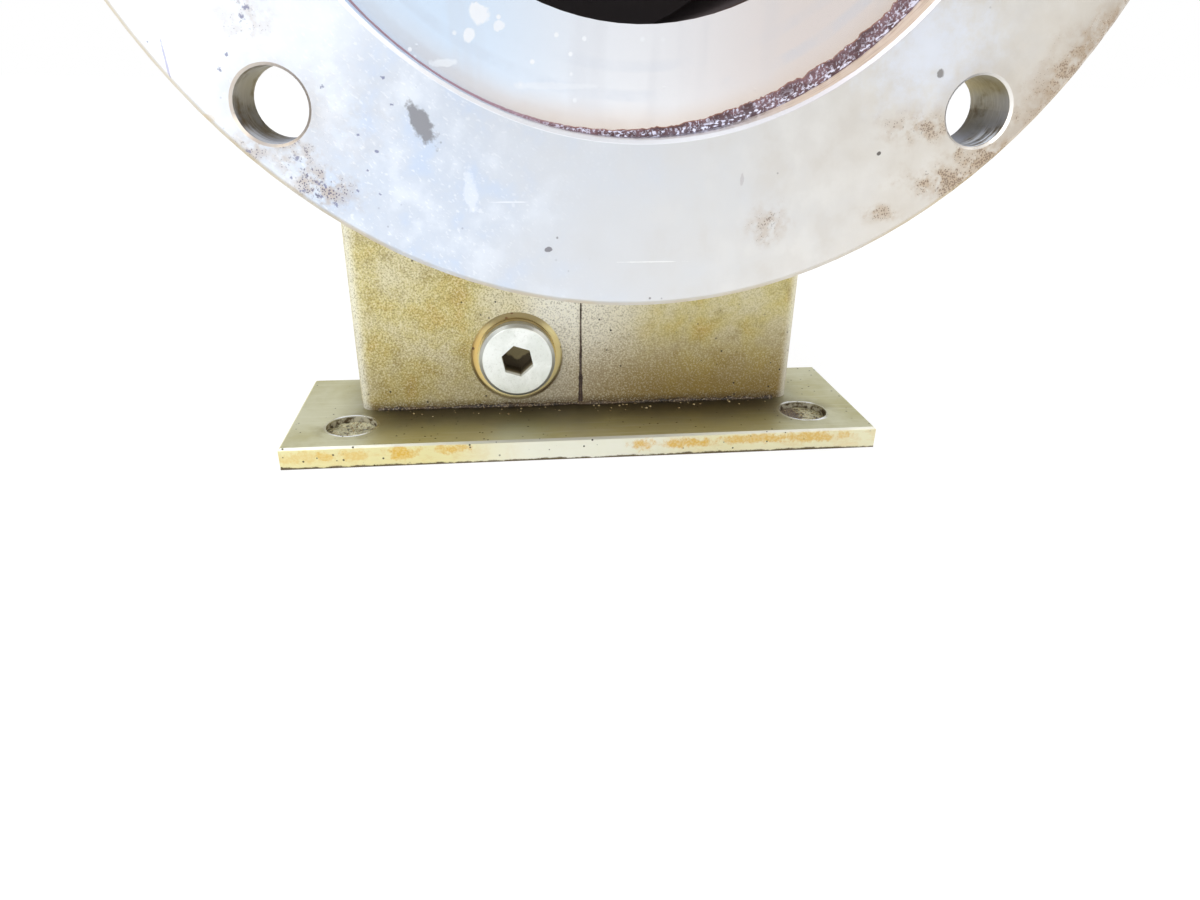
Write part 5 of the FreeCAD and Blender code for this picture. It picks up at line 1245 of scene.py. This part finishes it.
def heap(centre: Vector, radius: float, height: float, rough: float, rings: int,
         sides: int) -> tuple[list[Vector], list[tuple[int, ...]]]:
    """Lumpy round heap with a flat underside.

    Args:
        centre: Middle of the underside, in metres.
        radius: Its radius, in metres.
        height: Mean height, in metres.
        rough: Height of its lumps, in metres.
        rings: Rings of faces.
        sides: Faces round each ring.

    Returns:
        Corners and faces.
    """
    points = [centre + Vector((0, 0, height))]
    faces: list[tuple[int, ...]] = []
    for ring in range(1, rings + 1):
        for side in range(sides):
            angle = 2 * math.pi * side / sides
            spot = centre + Vector((math.cos(angle), math.sin(angle), 0)) * (radius * ring / rings)
            lumps = noise.noise(spot * 420) + 0.7 * noise.noise(spot * 1100)
            points.append(spot + Vector((0, 0, height + rough * lumps)))
    for side in range(sides):
        angle = 2 * math.pi * side / sides
        points.append(centre + Vector((math.cos(angle), math.sin(angle), 0)) * radius)
    for side in range(sides):
        after = (side + 1) % sides
        faces.append((0, 1 + side, 1 + after))
        for ring in range(rings):
            low = 1 + ring * sides
            high = low + sides
            faces.append((low + side, high + side, high + after, low + after))
    faces.append(tuple(1 + rings * sides + side for side in reversed(range(sides))))
    return points, faces


@dataclass
class GrimeLines:
    """Beads of grime that lie along seams and corners."""

    paste: bpy.types.Material
    dust: bpy.types.Material
    seam_radius: float = 0.28 * MM
    seam_spacing: float = 0.45 * MM
    seam_wander: float = 0.4 * MM
    seam_sunk: float = 0.18 * MM
    seam_below_worm: tuple[float, float] = (67 * MM, 42 * MM)
    foot_radius: float = 0.75 * MM
    foot_spacing: float = 0.5 * MM
    foot_wander: float = 0.7 * MM
    foot_margin: float = 5 * MM

    def bead_tree(self, name: str, material: bpy.types.Material) -> Growth:
        """Tree that draws a ragged bead along a path.

        Args:
            name: The tree's name.
            material: The bead's material.

        Returns:
            The tree.
        """
        growth = Growth(name, material)
        radius = growth.setting("Radius", 0.3 * MM)
        spacing = growth.setting("Spacing", 0.4 * MM)
        wander = growth.setting("Wander", 0.15 * MM)
        curve = growth.node("GeometryNodeMeshToCurve", Mesh=growth.start.outputs["Geometry"])
        even = growth.node("GeometryNodeResampleCurve", Curve=curve.outputs[0], Length=spacing, set_mode="LENGTH")
        place = growth.node("GeometryNodeInputPosition")
        clouds = growth.node("ShaderNodeTexNoise", Vector=place.outputs[0], Scale=420.0, Detail=4.0)
        centred = growth.node("ShaderNodeVectorMath", set_operation="SUBTRACT")
        growth.tree.links.new(clouds.outputs["Color"], centred.inputs[0])
        centred.inputs[1].default_value = (0.5, 0.5, 0.5)
        swing = growth.node("ShaderNodeVectorMath", set_operation="SCALE")
        growth.tree.links.new(centred.outputs[0], swing.inputs[0])
        growth.tree.links.new(wander, swing.inputs["Scale"])
        moved = growth.node("GeometryNodeSetPosition", Geometry=even.outputs[0], Offset=swing.outputs[0])
        swell = growth.node("ShaderNodeTexNoise", Vector=place.outputs[0], Scale=260.0, Detail=5.0)
        shape = growth.node("ShaderNodeMapRange", Value=swell.outputs[0], From_Min=0.30, From_Max=0.72,
                            To_Min=0.25, To_Max=1.5)
        split = growth.node("ShaderNodeSeparateXYZ", Vector=place.outputs[0])
        taper = growth.node("ShaderNodeMapRange", Value=split.outputs[2], From_Min=8 * MM, From_Max=40 * MM,
                            To_Min=1.0, To_Max=0.45)
        size = growth.product(growth.product(shape.outputs[0], taper.outputs[0]), radius)
        ring = growth.node("GeometryNodeCurvePrimitiveCircle", Resolution=7, Radius=1.0)
        tube = growth.node("GeometryNodeCurveToMesh", Curve=moved.outputs[0], Profile_Curve=ring.outputs[0],
                           Scale=size)
        growth.close(tube.outputs[0])
        return growth

    def build(self) -> list[bpy.types.Object]:
        """Grow the beads.

        Returns:
            The pieces.
        """
        seam = self.bead_tree("seam_bead", self.paste)
        corner = self.bead_tree("corner_bead", self.dust)
        pieces = []
        for end, name, below_worm in zip((-1, 1), ("front", "rear"), self.seam_below_worm):
            face = end * HOUSING_FRONT
            sunk = face - end * self.seam_sunk
            points = [Vector((0, sunk, BAR_TOP + 0.3 * MM)), Vector((0, sunk, WORM_HEIGHT - below_worm))]
            pieces.append(seam.grow(f"seam_paste_{name}", path_mesh(f"seam_path_{name}", points),
                                    Radius=self.seam_radius, Spacing=self.seam_spacing, Wander=self.seam_wander))
            reach = HOUSING_HALF - self.foot_margin
            points = [Vector((-reach, face, BAR_TOP + 0.1 * MM)), Vector((reach, face, BAR_TOP + 0.1 * MM))]
            pieces.append(corner.grow(f"foot_dirt_{name}", path_mesh(f"foot_path_{name}", points),
                                      Radius=self.foot_radius, Spacing=self.foot_spacing, Wander=self.foot_wander))
        return pieces


@dataclass
class RecessResidue:
    """Ring of caked oil in the corner of the flange's recess: a thread on the left, a wide band on the right."""

    material: bpy.types.Material
    steps: int = 900
    layers: int = 8
    waves: tuple[tuple[float, float], ...] = ((0.16, 24), (0.12, 70), (0.1, 170))
    thread_width: float = 0.26
    foot_width: float = 0.55
    band_width: float = 2.1
    lift: float = 0.04 * MM
    clearance: float = 0.02 * MM

    def width(self, angle: float) -> float:
        """Width of the band at an angle from straight down, positive to the right.

        Args:
            angle: Angle in radians.

        Returns:
            Width in metres.
        """
        right = 1 / (1 + math.exp(-(angle - 0.2) / 0.11))
        fade = 1 / (1 + math.exp((angle - 2.3) / 0.2))
        foot = self.foot_width * math.exp(-((angle - 0.02) / 0.3) ** 2)
        thread = self.thread_width / (1 + math.exp(-(angle + 2.2) / 0.2))
        return (thread + foot + self.band_width * right * fade) * MM

    def build(self) -> list[bpy.types.Object]:
        """Make the ring.

        Returns:
            The piece.
        """
        points: list[Vector] = []
        faces: list[tuple[int, int, int, int]] = []
        for step in range(self.steps):
            angle = 2 * math.pi * step / self.steps - math.pi
            around = Vector((math.sin(angle), 0.0, -math.cos(angle)))
            ragged = sum(share * noise.noise(around * pitch) for share, pitch in self.waves)
            width = self.width(angle) * (1 + ragged)
            for layer in range(self.layers):
                part = layer / (self.layers - 1)
                away = PILOT_RADIUS - self.clearance - width * (1 - part)
                lump = noise.noise(around * 190 + Vector((0, 7.0 * part, 0)))
                rise = self.lift + width * (0.34 * part ** 0.7 + 0.16 * lump * part * (1.6 - part))
                spot = around * away
                points.append(Vector((spot.x, PILOT_FLOOR - rise, WORM_HEIGHT + spot.z)))
        for step in range(self.steps):
            after = (step + 1) % self.steps
            for layer in range(self.layers - 1):
                low, high = step * self.layers + layer, after * self.layers + layer
                faces.append((low, low + 1, high + 1, high))
        return [solid_piece("pilot_residue", points, faces, self.material)]


@dataclass
class LooseGrit:
    """Grit that lies in the foot holes and along both ends of the casting."""

    material: bpy.types.Material
    pale: bpy.types.Material
    seed: int = 23
    bed_radius: float = 6.7 * MM
    bed_height: float = 4.1 * MM
    bed_lumps: float = 0.16 * MM
    bed_rings: int = 16
    bed_sides: int = 64
    grain_density: float = 1.0e6
    grain_size: float = 0.35 * MM
    smallest: float = 0.3
    tilt: float = 0.4
    crumb_density: float = 9.0e4
    crumb_size: float = 0.5 * MM
    crumb_reach: float = 55 * MM
    crumb_strip: tuple[float, float] = (0.5 * MM, 6.0 * MM)

    def grain_tree(self) -> Growth:
        """Tree that scatters lumpy grains over a surface.

        Returns:
            The tree.
        """
        growth = Growth("pale_grit", self.pale)
        density = growth.setting("Density", 2.0e6)
        size = growth.setting("Size", 0.4 * MM)
        spread = growth.node("GeometryNodeDistributePointsOnFaces", Mesh=growth.start.outputs["Geometry"],
                             Density=density, Seed=self.seed)
        grain = growth.node("GeometryNodeMeshIcoSphere", Radius=1.0, Subdivisions=1)
        scale = growth.node("FunctionNodeRandomValue", set_data_type="FLOAT", Seed=self.seed + 1)
        sockets = [s for s in scale.inputs if s.enabled]
        sockets[0].default_value = self.smallest
        sockets[1].default_value = 1.0
        factor = growth.product(next(s for s in scale.outputs if s.enabled), size)
        flat = growth.node("ShaderNodeCombineXYZ")
        for axis, share in (("X", 1.0), ("Y", 0.8), ("Z", 0.5)):
            growth.tree.links.new(growth.product(factor, share), flat.inputs[axis])
        turn = growth.node("FunctionNodeRandomValue", set_data_type="FLOAT_VECTOR", Seed=self.seed + 2)
        turns = [s for s in turn.inputs if s.enabled]
        turns[0].default_value = (-self.tilt, -self.tilt, 0.0)
        turns[1].default_value = (self.tilt, self.tilt, 6.28)
        placed = growth.node("GeometryNodeInstanceOnPoints", Points=spread.outputs["Points"],
                             Instance=grain.outputs[0], Scale=flat.outputs[0])
        growth.tree.links.new(next(s for s in turn.outputs if s.enabled), placed.inputs["Rotation"])
        growth.close(placed.outputs[0])
        return growth

    def build(self) -> list[bpy.types.Object]:
        """Scatter the grit.

        Returns:
            The pieces.
        """
        light = self.grain_tree()
        pieces = []
        for end, way in ((-1, "front"), (1, "rear")):
            for side, hand in ((-1, "left"), (1, "right")):
                centre = Vector((side * FOOT_HOLE[0], end * FOOT_HOLE[1], 0.1 * MM))
                points, faces = heap(centre, self.bed_radius, self.bed_height, self.bed_lumps, self.bed_rings,
                                     self.bed_sides)
                pieces.append(solid_piece(f"grit_bed_{way}_{hand}", points, faces, self.material))
                top = bpy.data.meshes.new(f"grit_top_{way}_{hand}")
                shown = len(points) - self.bed_sides
                top.from_pydata(points[:shown], [], [face for face in faces if max(face) < shown])
                pieces.append(light.grow(f"grit_pale_{way}_{hand}", top, Density=self.grain_density,
                                         Size=self.grain_size))
            strip = bpy.data.meshes.new(f"crumb_strip_{way}")
            near, far = (end * (HOUSING_FRONT + away) for away in self.crumb_strip)
            corners = [(-self.crumb_reach, near, BAR_TOP), (self.crumb_reach, near, BAR_TOP),
                       (self.crumb_reach, far, BAR_TOP), (-self.crumb_reach, far, BAR_TOP)]
            strip.from_pydata(corners, [], [(0, 1, 2, 3)])
            pieces.append(light.grow(f"crumbs_{way}", strip, Density=self.crumb_density, Size=self.crumb_size))
        return pieces


@dataclass
class TightenedPlug:
    """Drain plug, turned in its thread so that its socket stands as tightened."""

    node: bpy.types.Object
    turn: float = math.radians(28.0)

    def build(self) -> bpy.types.Object:
        """Turn a copy of the plug about its own axis.

        Returns:
            The piece.
        """
        mesh = self.node.data.copy()
        mesh.name = "drain_plug_tightened"
        axis = Matrix.Translation(Vector((DRAIN[0], 0.0, DRAIN[1])))
        mesh.transform(axis @ Matrix.Rotation(self.turn, 4, "Y") @ axis.inverted())
        piece = bpy.data.objects.new("drain_plug_tightened", mesh)
        bpy.context.scene.collection.objects.link(piece)
        return piece


@dataclass(frozen=True)
class SoftLamp:
    """A square soft light: where it hangs and its side in metres, its power in watts, its colour."""

    name: str
    place: Place
    size: float
    power: float
    colour: Colour


@dataclass
class Studio:
    """Floor, soft light and the camera at the photograph's angle."""

    lens: float = 24.47
    eye: Place = (-0.02153, -0.28796, 0.09655)
    forward: Place = (0.1120, 0.8960, -0.4310)
    right: Place = (0.9930, -0.1173, 0.0138)
    sky: Colour = (0.92, 0.95, 1.0)
    sky_strength: float = 0.92
    lamps: tuple[SoftLamp, ...] = (
        SoftLamp("key", (-0.7, -0.9, 1.3), 1.3, 11.0, (0.95, 0.98, 1.0)),
        SoftLamp("fill", (1.0, -0.5, 0.9), 1.0, 4.0, (1.0, 0.96, 0.9)),
        SoftLamp("front", (-0.75, -0.95, 0.36), 0.45, 2.6, (0.97, 0.99, 1.0)),
    )
    lamp_target: Place = (0.0, -0.05, 0.1)
    floor_reach: float = 4.0
    floor_height: float = -0.05 * MM

    def build(self) -> None:
        """Set up the stage."""
        self.floor()
        self.backdrop()
        for lamp in self.lamps:
            self.hang(lamp)
        self.camera()
        bpy.context.scene.view_settings.view_transform = "Standard"

    def floor(self) -> None:
        """Lay the table top."""
        mesh = bpy.data.meshes.new("floor")
        corners = [(across * self.floor_reach, along * self.floor_reach, self.floor_height)
                   for across, along in ((-1, -1), (1, -1), (1, 1), (-1, 1))]
        mesh.from_pydata(corners, [], [(0, 1, 2, 3)])
        mesh.materials.append(PaleFloor().build())
        floor = bpy.data.objects.new("floor", mesh)
        bpy.context.scene.collection.objects.link(floor)

    def backdrop(self) -> None:
        """Light the object from a pale sky, which the camera sees as white."""
        world = bpy.data.worlds.new("soft_sky")
        world.use_nodes = True
        tree = world.node_tree
        sky = tree.nodes["Background"]
        sky.inputs["Color"].default_value = (*self.sky, 1.0)
        sky.inputs["Strength"].default_value = self.sky_strength
        white = tree.nodes.new("ShaderNodeBackground")
        white.inputs["Color"].default_value = (1.0, 1.0, 1.0, 1.0)
        blend = tree.nodes.new("ShaderNodeMixShader")
        tree.links.new(tree.nodes.new("ShaderNodeLightPath").outputs["Is Camera Ray"], blend.inputs[0])
        tree.links.new(sky.outputs[0], blend.inputs[1])
        tree.links.new(white.outputs[0], blend.inputs[2])
        tree.links.new(blend.outputs[0], tree.nodes["World Output"].inputs["Surface"])
        bpy.context.scene.world = world

    def hang(self, lamp: SoftLamp) -> None:
        """Hang a light that points at the object.

        Args:
            lamp: The light.
        """
        data = bpy.data.lights.new(lamp.name, "AREA")
        data.size = lamp.size
        data.energy = lamp.power
        data.color = lamp.colour
        hung = bpy.data.objects.new(lamp.name, data)
        hung.location = lamp.place
        aim = Vector(self.lamp_target) - Vector(lamp.place)
        hung.rotation_euler = aim.to_track_quat("-Z", "Y").to_euler()
        bpy.context.scene.collection.objects.link(hung)

    def camera(self) -> None:
        """Place the camera where the photograph was taken from."""
        data = bpy.data.cameras.new("camera")
        data.lens = self.lens
        data.sensor_width = 36.0
        data.clip_start = 0.005
        ahead = Vector(self.forward).normalized()
        right = (Vector(self.right) - ahead * Vector(self.right).dot(ahead)).normalized()
        up = right.cross(ahead)
        turn = Matrix((right, up, -ahead)).transposed().to_4x4()
        camera = bpy.data.objects.new("camera", data)
        camera.matrix_world = Matrix.Translation(Vector(self.eye)) @ turn
        bpy.context.scene.collection.objects.link(camera)
        bpy.context.scene.camera = camera


@dataclass
class Dressing:
    """Finishes of the CAD nodes, by the record's material slots."""

    nodes: dict[str, bpy.types.Object]
    record: dict[str, Any]

    def finishes(self) -> dict[str, bpy.types.Material]:
        """Make one material for each slot.

        Returns:
            Materials by slot.
        """
        rubber = Moulded().build()
        return {
            "cast_aluminium": StainedCasting().build(),
            "machined_aluminium": MachinedFlange().build(),
            "plated_steel": PlatedBar().build(),
            "zinc_steel": WornMetal("zinc_steel", tone(216, 218, 213), tone(176, 177, 168), 0.7, (0.30, 0.42),
                                    grain=1600.0, relief=0.12, specks=0.5).build(),
            "black_steel": WornMetal("black_steel", tone(52, 52, 55), tone(30, 30, 32), 0.8, (0.35, 0.5)).build(),
            "ground_steel": WornMetal("ground_steel", tone(196, 196, 198), tone(160, 158, 155), 1.0, (0.20, 0.34),
                                      grain=2200.0, relief=0.12).build(),
            "bearing_steel": WornMetal("bearing_steel", tone(206, 206, 210), tone(172, 172, 176), 1.0, (0.14, 0.24),
                                       grain=2200.0, relief=0.06).build(),
            "coupling_iron": WornMetal("coupling_iron", tone(54, 47, 44), tone(30, 26, 26), 0.35, (0.42, 0.6),
                                       grain=1200.0, relief=0.4).build(),
            "wheel_iron": WornMetal("wheel_iron", tone(104, 98, 92), tone(72, 66, 62), 0.8, (0.4, 0.55),
                                    grain=1000.0, relief=0.4).build(),
            "wheel_bronze": WornMetal("wheel_bronze", tone(212, 164, 84), tone(170, 120, 54), 1.0, (0.24, 0.38),
                                      grain=1500.0, relief=0.15).build(),
            "sealing_copper": SealingWasher().build(),
            "spider_rubber": rubber,
            "seal_rubber": rubber,
        }

    def build(self) -> None:
        """Give each node its finish."""
        finishes = self.finishes()
        own = {
            "drain_plug": PlatedPlug("drain_plug_zinc", *DRAIN, PLUG_FACE).build(),
            "level_plug": PlatedPlug("level_plug_zinc", *LEVEL, PLUG_FACE).build(),
        }
        for part in self.record["subparts"]:
            node = self.nodes[part["node"]]
            for slot in node.material_slots:
                slot.material = own.get(part["node"], finishes[part["material_slot"]])
            LOG.info("%s: dressed as %s", part["node"], part["material_slot"])


def main() -> None:
    """Dress the reducer, grow its grime and set the stage."""
    logging.basicConfig(level=logging.INFO)
    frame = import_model()
    Dressing(frame["nodes"], frame["record"]).build()
    paste = CakedGrime("seam_paste", tone(62, 48, 42), tone(92, 74, 64), tone(140, 122, 104), share=0.3).build()
    dust = CakedGrime("corner_dirt", tone(44, 34, 24), tone(84, 66, 44), tone(170, 150, 118), share=0.5).build()
    residue = DriedOil().build()
    grit = CakedGrime("grit_bed", tone(160, 154, 122), tone(206, 201, 168), tone(66, 58, 44), share=0.85,
                      grain=1000.0, crust=tone(70, 42, 24)).build()
    crumbs = CakedGrime("pale_crumbs", tone(122, 100, 64), tone(178, 158, 114), tone(208, 192, 152),
                        share=0.5).build()
    pieces = GrimeLines(paste, dust).build() + RecessResidue(residue).build() + LooseGrit(grit, crumbs).build()
    plug = TightenedPlug(frame["nodes"]["drain_plug"]).build()
    for piece in [*pieces, plug]:
        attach(piece, "housing")
        LOG.info("%s: made with %d faces", piece.name, len(piece.data.polygons))
    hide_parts("drain_plug")
    Studio().build()


if __name__ == "__main__":
    main()
